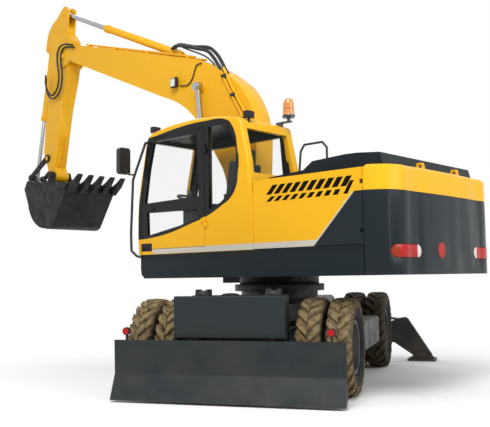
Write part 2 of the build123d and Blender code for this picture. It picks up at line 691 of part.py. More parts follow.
for side, side_name in ((1, "left"), (-1, "right")):
    plane = end_plane(JACK_X, side)
    ram_turn = heading(JACK_RAM_BASE, JACK_KNEE)
    a = radians(ram_turn)
    ram_plane = Plane(
        origin=(JACK_X, side * JACK_RAM_BASE[0], JACK_RAM_BASE[1]),
        x_dir=(0, side * cos(a), sin(a)),
        z_dir=(side, 0, 0),
    )
    with BuildPart() as outrigger:
        slab(plane, JACK_ARM, JACK_ARM_T)
        disc(plane, JACK_HINGE, 62.0, JACK_ARM_T)
        slab(plane, JACK_KNEE_SLOT, JACK_SLOT, mode=Mode.SUBTRACT)
        disc(plane, JACK_HINGE, JACK_PIN_R + RUN_GAP, 2 * JACK_ARM_T, mode=Mode.SUBTRACT)
        disc(plane, (1484.0, 440.0), 34.0, JACK_ARM_T + 20.0)
        block(
            (JACK_X - JACK_PAD_HALF_L, JACK_X + JACK_PAD_HALF_L),
            sorted((side * 1430.0, side * 1848.0)),
            (12.0, 34.0),
        )
        for rib_x in (JACK_X - 75.0, JACK_X + 75.0):
            slab(
                end_plane(rib_x, side),
                [(1450.0, 30.0), (1830.0, 30.0), (1700.0, 130.0), (1580.0, 130.0)],
                16.0,
            )
        block(
            (JACK_X - 80.0, JACK_X + 80.0),
            sorted((side * 1600.0, side * 1680.0)),
            (60.0, 120.0),
        )
    write(outrigger, f"outrigger_{side_name}")
    with BuildPart() as jack_barrel:
        ram_barrel(ram_plane, JACK_BARREL_LEN, 44.0, JACK_ROD_R, 48.0, JACK_PIN_R, JACK_ARM_T)
    write(jack_barrel, f"jack_barrel_{side_name}")
    with BuildPart() as jack_rod:
        ram_rod(ram_plane, 525.0, reach(JACK_RAM_BASE, JACK_KNEE), JACK_ROD_R, 36.0, 44.0)
    write(jack_rod, f"jack_rod_{side_name}")

# ================================================================ upper structure
# Deck with its skirts, the podium below the cab, the boom bracket and the tail beams.
DECK_TOP_Z = DECK_Z + DECK_T
SKIRT_T = 40.0
SKIRT_WELD = 3.5                    # how far the deck's edge reaches into the skirts
DECK_HALF_W = HALF_W - SKIRT_T + SKIRT_WELD
BRACKET_IN = BOOM_HALF_W + 6.0
BRACKET_T = 30.0
BRACKET = [  # x, z
    (-500.0, DECK_TOP_Z),
    (1180.0, DECK_TOP_Z),
    (1155.0, 1640.0),
    (BOOM_RAM_BASE[0] + 78.0, BOOM_RAM_BASE[1] + 15.0),
    (BOOM_RAM_BASE[0] + 40.0, BOOM_RAM_BASE[1] + 66.0),
    (BOOM_RAM_BASE[0] - 30.0, BOOM_RAM_BASE[1] + 72.0),
    (BOOM_RAM_BASE[0] - 80.0, BOOM_RAM_BASE[1] + 30.0),
    (640.0, 2110.0),
    (480.0, 2200.0),
    (330.0, 2120.0),
    (0.0, 1700.0),
    (-500.0, 1500.0),
]
DECK_OUTLINE = [  # x, y
    (1320.0, DECK_HALF_W),
    (1320.0, 240.0),
    (1150.0, 240.0),
    (1150.0, -360.0),
    (1230.0, -360.0),
    (1230.0, -DECK_HALF_W),
    (-2136.0, -DECK_HALF_W),
    (-2136.0, DECK_HALF_W),
]
with BuildPart() as upper_frame:
    with BuildSketch(Plane.XY.offset(DECK_Z)) as deck_flat:
        with BuildLine():
            Polyline(*DECK_OUTLINE, close=True)
        make_face()
    extrude(deck_flat.sketch, amount=DECK_T)
    bar((0, 0, RING_TOP_Z + RUN_GAP), (0, 0, DECK_Z + 5.0), 520.0)
    block((300.0, 850.0), (-310.0, 190.0), (1215.0, DECK_Z + 5.0))
    for side, front_x in ((1, CAB_FRONT_X), (-1, 1250.0)):
        slab(
            side_plane(side * (HALF_W - SKIRT_T / 2)),
            [
                (-2136.0, DECK_Z),
                (front_x - 70.0, DECK_Z),
                (front_x - 12.0, DECK_Z + 55.0),
                (front_x, DECK_Z + 130.0),
                (front_x, SKIRT_TOP_Z),
                (-2136.0, SKIRT_TOP_Z),
            ],
            SKIRT_T,
        )
    block((CAB_FRONT_X - 40.0, CAB_FRONT_X), (240.0, HALF_W - 20.0), (DECK_Z + 130.0, SKIRT_TOP_Z))
    slab(
        side_plane((240.0 + HALF_W - 20.0) / 2),
        [
            (CAB_FRONT_X - 70.0, DECK_Z),
            (CAB_FRONT_X - 12.0, DECK_Z + 55.0),
            (CAB_FRONT_X, DECK_Z + 130.0),
            (CAB_FRONT_X - 40.0, DECK_Z + 130.0),
            (CAB_FRONT_X - 70.0, DECK_Z + 30.0),
        ],
        HALF_W - 260.0,
    )
    block((CAB_BACK_X, CAB_FRONT_X - 30.0), (CAB_RIGHT_Y + 10.0, HALF_W - 30.0), (DECK_TOP_Z - 5.0, SKIRT_TOP_Z - SEAT_GAP))
    for plate in (-1, 1):
        slab(side_plane(BOOM_Y + plate * (BRACKET_IN + BRACKET_T / 2)), BRACKET, BRACKET_T)
    block((-500.0, -440.0), (BOOM_Y - BRACKET_IN, BOOM_Y + BRACKET_IN), (DECK_TOP_Z - 5.0, 1490.0))
    disc(side_plane(BOOM_Y), BOOM_FOOT, FOOT_PIN_R, 2 * (BRACKET_IN + BRACKET_T + 18.0))
    disc(side_plane(BOOM_Y), BOOM_RAM_BASE, 40.0, 2 * (BOOM_RAM_Y + 48.0))
    for side in (-1, 1):
        disc(side_plane(BOOM_Y + side * (BOOM_RAM_Y + 50.0)), BOOM_RAM_BASE, 46.0, 8.0)
        block(
            (TAIL_SEAM_X + SEAT_GAP, -500.0),
            sorted((side * 300.0, side * 380.0)),
            (DECK_TOP_Z - 5.0, 1420.0),
        )
write(upper_frame, "upper_frame", SLEW_DEG)

# Engine: one plain block on the tail beams.
with BuildPart() as engine:
    block((-1900.0, -1150.0), (-450.0, 450.0), (1420.0 + SEAT_GAP, 2150.0))
write(engine, "engine_block", SLEW_DEG)

# Counterweight: one casting with rounded corners, lamp recesses and lifting eyes.
TAIL_PLAN = [  # passed through, end: x, y
    (None, (TAIL_SEAM_X, HALF_W)),
    ((-2338.0, HALF_W - 114.5), (-2420.0, HALF_W - 426.5)),
    ((TAIL_X - 5.0, 0.0), (-2420.0, 426.5 - HALF_W)),
    ((-2338.0, 114.5 - HALF_W), (TAIL_SEAM_X, -HALF_W)),
]
TAIL_LAMP_Y = HALF_W - 381.5
TAIL_LAMP_Z = 1531.0
LIFT_EYE = (-2335.0, 390.0, 2450.0)
LIFT_EYE_R = 22.0


def tail_block(z, grow=0.0, slope=0.0):
    """The counterweight's plan between two heights, pushed back by grow, sides sloping in."""
    with BuildSketch(Plane(origin=(-grow, 0, z[0]))) as plan:
        with BuildLine():
            start = TAIL_PLAN[-1][1]
            for through, end in TAIL_PLAN:
                if through is None:
                    Line(start, end)
                else:
                    ThreePointArc(start, through, end)
                start = end
        make_face()
    extrude(plan.sketch, amount=z[1] - z[0], taper=slope)


def lamp_oval(y, z, size, x, mode):
    """A round-ended shape across the tail, from x rearwards."""
    with BuildSketch(Plane(origin=(x, y, z), x_dir=(0, 1, 0), z_dir=(-1, 0, 0))) as oval:
        RectangleRounded(size[0], size[1], size[1] / 2 - 1.0)
    extrude(oval.sketch, amount=300.0, mode=mode)


with BuildPart() as counterweight:
    tail_block((DECK_Z, TAIL_TOP_Z - 30.0))
    tail_block((TAIL_TOP_Z - 30.0, TAIL_TOP_Z), slope=40.0)
    for side in (-1, 1):
        lamp_oval(side * TAIL_LAMP_Y, TAIL_LAMP_Z, (480.0, 140.0), -2290.0, Mode.SUBTRACT)
        slab(
            side_plane(side * LIFT_EYE[1]),
            [
                (LIFT_EYE[0] - 60.0, TAIL_TOP_Z - 40.0),
                (LIFT_EYE[0] + 60.0, TAIL_TOP_Z - 40.0),
                (LIFT_EYE[0] + 35.0, LIFT_EYE[2] + 38.0),
                (LIFT_EYE[0] - 35.0, LIFT_EYE[2] + 38.0),
            ],
            30.0,
            corner=12.0,
        )
        disc(side_plane(side * LIFT_EYE[1]), LIFT_EYE[::2], LIFT_EYE_R, 60.0, mode=Mode.SUBTRACT)
write(counterweight, "counterweight", SLEW_DEG)

# Engine housing: bulkhead, posts and top rails that carry the doors and the hood.
RAIL_TOP_Z = SIDE_TOP_Z
DOOR_T = 46.5
DOOR_IN_Y = HALF_W - DOOR_T
SERVICE_DOOR_X = (-2138.0, -652.0)
SERVICE_DOOR_Z = (SKIRT_TOP_Z + PANEL_GAP, SIDE_TOP_Z - 2.0)
DOOR_HINGE = (-2130.0, HALF_W - 7.5)       # x, y
DOOR_KNUCKLES_Z = (1740.0, 2240.0)
KNUCKLE_PIN_R = 6.0
KNUCKLE_OUT_R = 13.0
HOOD_HINGE = (-684.0, 2408.0)              # x, z
HOOD_KNUCKLES_Y = (-700.0, 700.0)
with BuildPart() as housing:
    block((-700.0, -680.0), (-DOOR_IN_Y + 6.0, DOOR_IN_Y - 6.0), (DECK_TOP_Z + SEAT_GAP, RAIL_TOP_Z))
    block((-710.0, -670.0), (-381.0, 381.0), (DECK_TOP_Z, 1421.0), mode=Mode.SUBTRACT)
    for side in (-1, 1):
        in_y = side * (DOOR_IN_Y - 6.0)
        block((-2130.0, -690.0), sorted((in_y, in_y - side * 70.0)), (RAIL_TOP_Z - 60.0, RAIL_TOP_Z))
        for post_x in (-2130.0, -1430.0):
            block(
                (post_x, post_x + 50.0),
                sorted((in_y, in_y - side * 60.0)),
                (DECK_TOP_Z + SEAT_GAP, RAIL_TOP_Z - 30.0),
            )
        for z in DOOR_KNUCKLES_Z:
            hinge_at = (DOOR_HINGE[0], side * DOOR_HINGE[1])
            block(
                (hinge_at[0] - 8.0, hinge_at[0] + 10.0),
                sorted((in_y - side * 5.0, hinge_at[1])),
                (z - 20.0, z + 20.0),
            )
            bar((*hinge_at, z - 20.0), (*hinge_at, z + 20.0), 8.0)
            bar((*hinge_at, z - 50.0), (*hinge_at, z + 50.0), KNUCKLE_PIN_R)
    block((-2130.0, -2080.0), (-DOOR_IN_Y + 10.0, DOOR_IN_Y - 10.0), (RAIL_TOP_Z - 60.0, RAIL_TOP_Z))
    for y in HOOD_KNUCKLES_Y:
        block(
            (HOOD_HINGE[0] - 10.0, HOOD_HINGE[0] + 4.0),
            (y - 16.0, y + 16.0),
            (RAIL_TOP_Z - 5.0, HOOD_HINGE[1]),
        )
        disc(side_plane(y), HOOD_HINGE, 10.0, 32.0)
        disc(side_plane(y), HOOD_HINGE, KNUCKLE_PIN_R, 110.0)
write(housing, "engine_housing", SLEW_DEG)

# Service doors: thick panels with slanted slots, hinged at the tail.
SLOT_ROWS = [  # x of first slot at its foot, foot z, head z, lean back, number
    (-958.0, 2130.0, 2208.0, 75.0, 8),
    (-1035.0, 2226.0, 2305.0, 75.0, 8),
]
SLOT_PITCH = 118.0
SLOT_W = 62.0
for side, side_name in ((1, "left"), (-1, "right")):
    door_y = side * (HALF_W - DOOR_T / 2)
    with BuildPart() as service_door:
        block(SERVICE_DOOR_X, sorted((side * DOOR_IN_Y, side * HALF_W)), SERVICE_DOOR_Z)
        chamfer(service_door.edges().filter_by(Axis.Z).sort_by(Axis.X)[-2:], 6.0)
        for first_x, foot_z, head_z, lean, number in SLOT_ROWS:
            for i in range(number):
                x = first_x - i * SLOT_PITCH
                slab(
                    side_plane(door_y),
                    [
                        (x, foot_z),
                        (x - SLOT_W, foot_z),
                        (x - SLOT_W - lean, head_z),
                        (x - lean, head_z),
                    ],
                    2 * DOOR_T,
                    mode=Mode.SUBTRACT,
                )
        for z in DOOR_KNUCKLES_Z:
            hinge_at = (DOOR_HINGE[0], side * DOOR_HINGE[1])
            for end in (-1, 1):
                bar((*hinge_at, z + end * 24.0), (*hinge_at, z + end * 58.0), KNUCKLE_OUT_R)
            block(
                (SERVICE_DOOR_X[0] - 10.0, DOOR_HINGE[0] + 24.0),
                sorted((side * (DOOR_IN_Y - 10.0), side * (HALF_W + 12.0))),
                (z - 24.0, z + 24.0),
                mode=Mode.SUBTRACT,
            )
            bar((*hinge_at, z - 54.0), (*hinge_at, z + 54.0), KNUCKLE_PIN_R + RUN_GAP, mode=Mode.SUBTRACT)
    write(service_door, f"service_door_{side_name}", SLEW_DEG)

# Engine hood: a stepped lid over the engine, hinged behind the cab.
HOOD_BOTTOM_Z = RAIL_TOP_Z + 6.0
HOOD_T = 40.0
HOOD_OUTLINE = [  # x, z
    (-690.0, HOOD_BOTTOM_Z),
    (-702.0, 2440.0),
    (-1211.0, 2474.0),
    (-1340.0, 2561.0),
    (-1783.0, 2585.0),
    (-1937.0, 2582.0),
    (-2215.0, 2557.0),
    (-2250.0, 2417.0),
    (-2110.0, 2417.0),
    (-2110.0, HOOD_BOTTOM_Z),
]
HOOD_HOLLOW = [  # x, z
    (-730.0, HOOD_BOTTOM_Z - 20.0),
    (-740.0, 2404.0),
    (-1222.0, 2434.0),
    (-1352.0, 2521.0),
    (-1783.0, 2545.0),
    (-1937.0, 2542.0),
    (-2070.0, 2528.0),
    (-2070.0, HOOD_BOTTOM_Z - 20.0),
]
with BuildPart() as hood:
    slab(side_plane(0.0), HOOD_OUTLINE, 2 * HOOD_HALF_W)
    slab(side_plane(0.0), HOOD_HOLLOW, 2 * (HOOD_HALF_W - HOOD_T), mode=Mode.SUBTRACT)
    for y in HOOD_KNUCKLES_Y:
        for end in (-1, 1):
            disc(side_plane(y + end * 35.0), HOOD_HINGE, 12.0, 30.0)
        block(
            (HOOD_HINGE[0] - 26.0, HOOD_HINGE[0] + 20.0),
            (y - 20.0, y + 20.0),
            (HOOD_BOTTOM_Z - 10.0, HOOD_HINGE[1] + 18.0),
            mode=Mode.SUBTRACT,
        )
        disc(side_plane(y), HOOD_HINGE, KNUCKLE_PIN_R + RUN_GAP, 120.0, mode=Mode.SUBTRACT)
write(hood, "engine_hood", SLEW_DEG)

# Tank cabinet on the right: filler deck, battery box and two steps up at the front.
CABINET = [  # x, z
    (-650.0, DECK_TOP_Z + SEAT_GAP),
    (1215.0, DECK_TOP_Z + SEAT_GAP),
    (1215.0, 1620.0),
    (1000.0, 1640.0),
    (1000.0, 1900.0),
    (480.0, 1900.0),
    (480.0, 2150.0),
    (-650.0, 2150.0),
]
CABINET_IN_Y = -400.0
CABINET_OUT_Y = -HALF_W + SKIRT_T + SEAT_GAP
with BuildPart() as cabinet:
    slab(side_plane((CABINET_IN_Y + CABINET_OUT_Y) / 2), CABINET, CABINET_IN_Y - CABINET_OUT_Y)
    chamfer(cabinet.edges().filter_by(Axis.Y).group_by(Axis.Z)[-1], 25.0)
    block((-650.0, 1215.0), (-HALF_W, CABINET_OUT_Y + 5.0), (SKIRT_TOP_Z + SEAT_GAP, 1615.0))
    bar((100.0, -760.0, 2140.0), (100.0, -760.0, 2185.0), 80.0)
write(cabinet, "tank_cabinet", SLEW_DEG)

# Handrails: a tall double hoop on the cabinet and a grab rail ahead of the cab door.
RAIL_R = 17.0
HOOP_Y = CABINET_OUT_Y + 36.2
GRAB_Y = HALF_W + 55.5
with BuildPart() as handrails:
    tube(
        [
            (20.0, HOOP_Y, 2150.0 + SEAT_GAP),
            (20.0, HOOP_Y, 3150.0),
            (100.0, HOOP_Y, 3240.0),
            (430.0, HOOP_Y, 3240.0),
            (500.0, HOOP_Y, 3150.0),
            (560.0, HOOP_Y, 2600.0),
            (940.0, HOOP_Y, 2250.0),
            (940.0, HOOP_Y, 1900.0 + SEAT_GAP),
        ],
        RAIL_R,
    )
    tube([(20.0, HOOP_Y, 2700.0), (546.0, HOOP_Y, 2700.0)], RAIL_R * 0.8)
    tube(
        [
            (1172.0, HALF_W + 12.0, 3080.0),
            (1180.0, GRAB_Y, 3060.0),
            (1435.0, GRAB_Y, 2600.0),
            (1478.0, GRAB_Y, 1900.0),
            (1470.0, GRAB_Y, 1660.0),
            (1360.0, GRAB_Y, 1585.0),
            (1322.0, HALF_W + 12.0, 1572.0),
        ],
        RAIL_R,
    )
write(handrails, "handrails", SLEW_DEG)

# ================================================================ cab
CAB_OUTLINE = [  # passed through, end: x, z
    (None, (1396.0, SKIRT_TOP_Z)),
    ((1417.0, 2038.0), (1320.0, 2711.0)),
    (None, (1234.0, 3070.0)),
    ((1196.0, 3148.0), (1110.0, 3196.0)),
    ((400.0, 3262.0), (-400.0, 3176.0)),
    ((-455.0, 3150.0), (-485.0, 3090.0)),
    (None, (-587.0, 2637.0)),
    (None, (-640.0, 2168.0)),
    (None, (-640.0, SKIRT_TOP_Z)),
]
DOOR_OPENING = [  # passed through, end: x, z
    (None, (134.0, 1665.0)),
    (None, (1300.0, 1665.0)),
    ((1322.0, 2038.0), (1226.0, 2711.0)),
    (None, (1140.0, 3060.0)),
    (None, (1060.0, 3115.0)),
    (None, (134.0, 3135.0)),
]
QUARTER_WINDOW = [  # passed through, end: x, z
    (None, (60.0, 2110.0)),
    (None, (60.0, 3120.0)),
    (None, (-230.0, 3105.0)),
    ((-325.0, 2980.0), (-395.0, 2590.0)),
    ((-385.0, 2420.0), (-285.0, 2285.0)),
    (None, (-130.0, 2180.0)),
]
RIGHT_WINDOW = [  # passed through, end: x, z
    (None, (-400.0, 2250.0)),
    (None, (-330.0, 3050.0)),
    (None, (1080.0, 3050.0)),
    (None, (1200.0, 2700.0)),
    (None, (1270.0, 2250.0)),
]
DOOR_WINDOW = [  # passed through, end: x, z
    (None, (241.0, 2289.0)),
    (None, (1258.0, 2271.0)),
    (None, (1180.0, 2700.0)),
    (None, (1085.0, 3045.0)),
    (None, (1035.0, 3070.0)),
    (None, (268.0, 3069.0)),
]
DOOR_LOW_WINDOW = [  # passed through, end: x, z
    (None, (260.0, 2125.0)),
    (None, (1215.0, 2145.0)),
    (None, (1205.0, 1845.0)),
    (None, (587.0, 1945.0)),
    (None, (260.0, 2020.0)),
]
CAB_MID_Y = (CAB_RIGHT_Y + HALF_W) / 2
CAB_W = HALF_W - CAB_RIGHT_Y
WINDSHIELD_Y = (CAB_RIGHT_Y + 90.0, HALF_W - 86.5)
WINDSHIELD_Z = (1720.0, 3080.0)
REAR_GLASS_Y = (CAB_RIGHT_Y + 120.0, HALF_W - 86.5)
REAR_GLASS_Z = (2500.0, 3040.0)
GLASS_T = 8.0
CAB_HINGE = (128.0, HALF_W + 14.0)          # x, y
CAB_KNUCKLES_Z = (1930.0, 2830.0)
CAB_DOOR_T = 45.0
with BuildPart() as cab:
    outline(side_plane(CAB_MID_Y), CAB_OUTLINE, CAB_W)
    side_edges = cab.edges().filter_by_position(Axis.Y, HALF_W - 0.1, HALF_W + 0.1)
    side_edges += cab.edges().filter_by_position(Axis.Y, CAB_RIGHT_Y - 0.1, CAB_RIGHT_Y + 0.1)
    chamfer([e for e in side_edges if e.center().Z > SKIRT_TOP_Z + 5.0], 22.0)
    outline(side_plane(CAB_MID_Y), CAB_OUTLINE, CAB_W - 2 * CAB_WALL, CAB_WALL, mode=Mode.SUBTRACT)
    outline(side_plane(HALF_W), DOOR_OPENING, 2 * CAB_WALL + 20.0, mode=Mode.SUBTRACT)
    outline(side_plane(HALF_W), QUARTER_WINDOW, 2 * CAB_WALL + 20.0, mode=Mode.SUBTRACT)
    outline(side_plane(CAB_RIGHT_Y), RIGHT_WINDOW, 2 * CAB_WALL + 20.0, mode=Mode.SUBTRACT)
    block((1080.0, 1500.0), WINDSHIELD_Y, WINDSHIELD_Z, mode=Mode.SUBTRACT)
    block((-750.0, -400.0), REAR_GLASS_Y, REAR_GLASS_Z, mode=Mode.SUBTRACT)
    for z in CAB_KNUCKLES_Z:
        bar((*CAB_HINGE, z - 30.0), (*CAB_HINGE, z + 30.0), 12.0)
        block((CAB_HINGE[0] - 40.0, CAB_HINGE[0]), (HALF_W - 10.0, HALF_W + 20.0), (z - 30.0, z + 30.0))
        bar((*CAB_HINGE, z), (*CAB_HINGE, z + 80.0), KNUCKLE_PIN_R)
write(cab, "cab_shell", SLEW_DEG)

# Fixed panes, each seated inside its opening.
with BuildPart() as cab_glass:
    outline(side_plane(HALF_W - 30.0), QUARTER_WINDOW, GLASS_T, SEAT_GAP)
    outline(side_plane(CAB_RIGHT_Y + 30.0), RIGHT_WINDOW, GLASS_T, SEAT_GAP)
    for z, front in ((WINDSHIELD_Z, True), (REAR_GLASS_Z, False)):
        y = WINDSHIELD_Y if front else REAR_GLASS_Y
        reach_x = 1500.0 if front else -750.0
        inner_x = 1080.0 if front else -400.0
        with BuildPart(mode=Mode.PRIVATE) as pane:
            outline(side_plane((y[0] + y[1]) / 2), CAB_OUTLINE, y[1] - y[0] - 2 * SEAT_GAP, 22.0)
            outline(side_plane((y[0] + y[1]) / 2), CAB_OUTLINE, y[1] - y[0], 22.0 + GLASS_T, mode=Mode.SUBTRACT)
            block(
                sorted((inner_x, reach_x)),
                (y[0] - 10.0, y[1] + 10.0),
                (z[0] + SEAT_GAP, z[1] - SEAT_GAP),
                mode=Mode.INTERSECT,
            )
        add(pane.part)
write(cab_glass, "cab_glass", SLEW_DEG)

# Cab door: a frame with two windows, hinged at its rear edge.
with BuildPart() as cab_door:
    outline(side_plane(HALF_W - CAB_DOOR_T / 2), DOOR_OPENING, CAB_DOOR_T, PANEL_GAP)
    for table in (DOOR_WINDOW, DOOR_LOW_WINDOW):
        outline(side_plane(HALF_W - CAB_DOOR_T / 2), table, 2 * CAB_DOOR_T, mode=Mode.SUBTRACT)
    for z in CAB_KNUCKLES_Z:
        low = z + 30.0 + SIDE_GAP
        bar((*CAB_HINGE, low), (*CAB_HINGE, low + 60.0), 12.0)
        block((CAB_HINGE[0], CAB_HINGE[0] + 60.0), (HALF_W + 5.0, HALF_W + 20.0), (low, low + 60.0))
        block((CAB_HINGE[0] + 24.0, CAB_HINGE[0] + 60.0), (HALF_W - 10.0, HALF_W + 20.0), (low, low + 60.0))
        bar((*CAB_HINGE, low - 5.0), (*CAB_HINGE, low + 52.0), KNUCKLE_PIN_R + RUN_GAP, mode=Mode.SUBTRACT)
    block((1080.0, 1220.0), (HALF_W - 5.0, HALF_W + 12.0), (2170.0, 2215.0))
write(cab_door, "cab_door", SLEW_DEG)

with BuildPart() as door_glass:
    for table in (DOOR_WINDOW, DOOR_LOW_WINDOW):
        outline(side_plane(HALF_W - 22.0), table, GLASS_T, SEAT_GAP)
write(door_glass, "door_glass", SLEW_DEG)

# Operator's seat: pedestal, cushion, back and headrest.
FLOOR_Z = SKIRT_TOP_Z + CAB_WALL
SEAT_Y = (480.0, 990.0)
with BuildPart() as seat:
    block((80.0, 420.0), (620.0, 850.0), (FLOOR_Z + SEAT_GAP, 1960.0))
    slab(
        side_plane(sum(SEAT_Y) / 2),
        [(-20.0, 1950.0), (520.0, 1950.0), (560.0, 2000.0), (540.0, 2110.0), (60.0, 2080.0), (0.0, 2080.0)],
        SEAT_Y[1] - SEAT_Y[0],
        corner=20.0,
    )
    slab(
        side_plane(sum(SEAT_Y) / 2),
        [(-60.0, 2000.0), (70.0, 2000.0), (-50.0, 2720.0), (-150.0, 2700.0)],
        SEAT_Y[1] - SEAT_Y[0] - 40.0,
        corner=30.0,
    )
    slab(
        side_plane(sum(SEAT_Y) / 2),
        [(-140.0, 2690.0), (-50.0, 2700.0), (-80.0, 2890.0), (-150.0, 2880.0)],
        270.0,
        corner=20.0,
    )
write(seat, "operator_seat", SLEW_DEG)

# Consoles with levers, and the steering column with its wheel.
with BuildPart() as consoles:
    for y in (400.0, 1060.0):
        block((60.0, 640.0), (y - 55.0, y + 55.0), (FLOOR_Z + SEAT_GAP, 2190.0))
        chamfer(consoles.edges().filter_by(Axis.Y).group_by(Axis.Z)[-1], 20.0)
        bar((560.0, y, 2180.0), (570.0, y, 2330.0), 14.0)
        bar((568.0, y, 2300.0), (576.0, y, 2400.0), 26.0)
    bar((1130.0, 735.0, FLOOR_Z + SEAT_GAP), (1130.0, 735.0, FLOOR_Z + 60.0), 60.0)
    bar((1130.0, 735.0, FLOOR_Z + 30.0), (900.0, 735.0, 2290.0), 32.0)
    with BuildSketch(Plane(origin=(880.0, 735.0, 2345.0), z_dir=(-0.35, 0, 0.94))) as wheel_flat:
        Circle(200.0)
        Circle(172.0, mode=Mode.SUBTRACT)
        Rectangle(30.0, 360.0)
    extrude(wheel_flat.sketch, amount=-26.0)
    bar((905.0, 735.0, 2280.0), (884.0, 735.0, 2335.0), 40.0)
write(consoles, "control_consoles", SLEW_DEG)

# Mirrors: one ahead of the cab door on the grab rail, one on the right-hand hoop.
with BuildPart() as mirrors:
    for middle, stem in (
        ((1500.0, GRAB_Y + 110.0, 2850.0), (1400.0, GRAB_Y + RAIL_R + SEAT_GAP, 2663.0)),
        ((960.0, HOOP_Y - 270.0, 2560.0), (640.0, HOOP_Y - RAIL_R - SEAT_GAP, 2526.0)),
    ):
        block(
            (middle[0] - 35.0, middle[0] + 35.0),
            (middle[1] - 90.0, middle[1] + 90.0),
            (middle[2] - 175.0, middle[2] + 175.0),
        )
        tube([stem, (stem[0], middle[1], stem[2]), (middle[0], middle[1], middle[2] - 80.0)], 11.0)
    chamfer(mirrors.edges().filter_by(Axis.X), 25.0)
write(mirrors, "mirrors", SLEW_DEG)

# Lamps: tail lamps in the counterweight, work lamps on the cab roof.
with BuildPart() as lamps:
    for side in (-1, 1):
        with BuildPart(mode=Mode.PRIVATE) as tail_lamp:
            tail_block((TAIL_LAMP_Z - 80.0, TAIL_LAMP_Z + 80.0), 6.0)
            lamp_oval(side * TAIL_LAMP_Y, TAIL_LAMP_Z, (470.0, 130.0), -2291.0, Mode.INTERSECT)
        add(tail_lamp.part)
    for x, y, z in (
        (1150.0, HALF_W - 96.5, 3250.0),
        (1150.0, CAB_RIGHT_Y + 100.0, 3250.0),
        (-470.0, HALF_W - 156.5, 3215.0),
    ):
        block((x - 35.0, x + 35.0), (y - 60.0, y + 60.0), (z - 40.0, z + 40.0))
        bar((x, y, z - 100.0), (x, y, z - 30.0), 14.0)
        outline(side_plane(y), CAB_OUTLINE, 60.0, -SEAT_GAP, mode=Mode.SUBTRACT)
write(lamps, "lamps", SLEW_DEG)

# Beacon on a stem at the cab's rear right corner.
BEACON = (-560.0, CAB_RIGHT_Y + 150.0)
with BuildPart() as beacon:
    block((BEACON[0] - 35.0, BEACON[0] + 190.0), (BEACON[1] - 25.0, BEACON[1] + 25.0), (3196.0, 3216.0))
    block((BEACON[0] + 110.0, BEACON[0] + 190.0), (BEACON[1] - 25.0, BEACON[1] + 25.0), (3120.0, 3200.0))
    outline(side_plane(BEACON[1]), CAB_OUTLINE, 60.0, -SEAT_GAP, mode=Mode.SUBTRACT)
    bar((*BEACON, 3200.0), (*BEACON, 3262.0), 22.0)
    bar((*BEACON, 3255.0), (*BEACON, 3290.0), 80.0)
    turned(
        Plane.XZ.offset(-BEACON[1]),
        Axis((*BEACON, 0), (0, 0, 1)),
        [
            (BEACON[0], 3285.0),
            (BEACON[0] + 72.0, 3285.0),
            (BEACON[0] + 66.0, 3440.0),
            (BEACON[0] + 48.0, 3490.0),
            (BEACON[0], 3506.0),
        ],
    )
write(beacon, "beacon", SLEW_DEG)

# ================================================================ boom, arm and bucket
BOOM_TURN = heading(BOOM_FOOT, BOOM_TIP)
BOOM_LEN = reach(BOOM_FOOT, BOOM_TIP)
ARM_TURN = heading(BOOM_TIP, BUCKET_PIN)
ARM_LEN = reach(BOOM_TIP, BUCKET_PIN)


def boom_plane(y=0.0):
    """The boom's own plane: x along its pin line, y above it, y to the side of its middle."""
    return side_plane(BOOM_Y + y, BOOM_FOOT, BOOM_TURN)


def arm_plane(y=0.0):
    """The arm's own plane: x down its pin line, y ahead of it."""
    return side_plane(BOOM_Y + y, BOOM_TIP, ARM_TURN)


def bucket_plane(y=0.0):
    """The bucket's plane: upright, from its pin."""
    return side_plane(BOOM_Y + y, BUCKET_PIN)


# Boom: an arched box, forked at its tip, with lugs for its own and the arm's cylinders.
BOOM_OUTLINE = [  # passed through, end: along and above the pin line
    (None, (113.0, -83.0)),
    (None, (783.0, 354.0)),
    (None, (1392.0, 588.0)),
    ((1890.0, 700.0), (2505.0, 619.0)),
    (None, (5194.0, 8.0)),
    (None, (BOOM_LEN, -100.0)),
    (None, (BOOM_LEN + 60.0, 212.0)),
    (None, (2200.0, 1404.0)),
    ((1725.0, 1474.0), (1240.0, 1476.0)),
    ((813.0, 1314.0), (508.0, 1055.0)),
    (None, (174.0, 555.0)),
    (None, (-79.0, 120.0)),
]
BOOM_FOOT_R = 130.0
BOOM_TIP_R = 190.0
ARM_RAM_W = 110.0
ARM_LUG = [  # along and above the boom's pin line
    (ARM_RAM_BASE[0] - 330.0, ARM_RAM_BASE[1] - 40.0),
    (ARM_RAM_BASE[0] - 60.0, ARM_RAM_BASE[1] + 60.0),
    (ARM_RAM_BASE[0] + 40.0, ARM_RAM_BASE[1] + 55.0),
    (ARM_RAM_BASE[0] + 110.0, ARM_RAM_BASE[1] - 190.0),
]
BOOM_BOSS_HALF = BOOM_RAM_Y - 42.0 - SIDE_GAP
PIPE_R = 17.0
PIPE_Y = 118.0
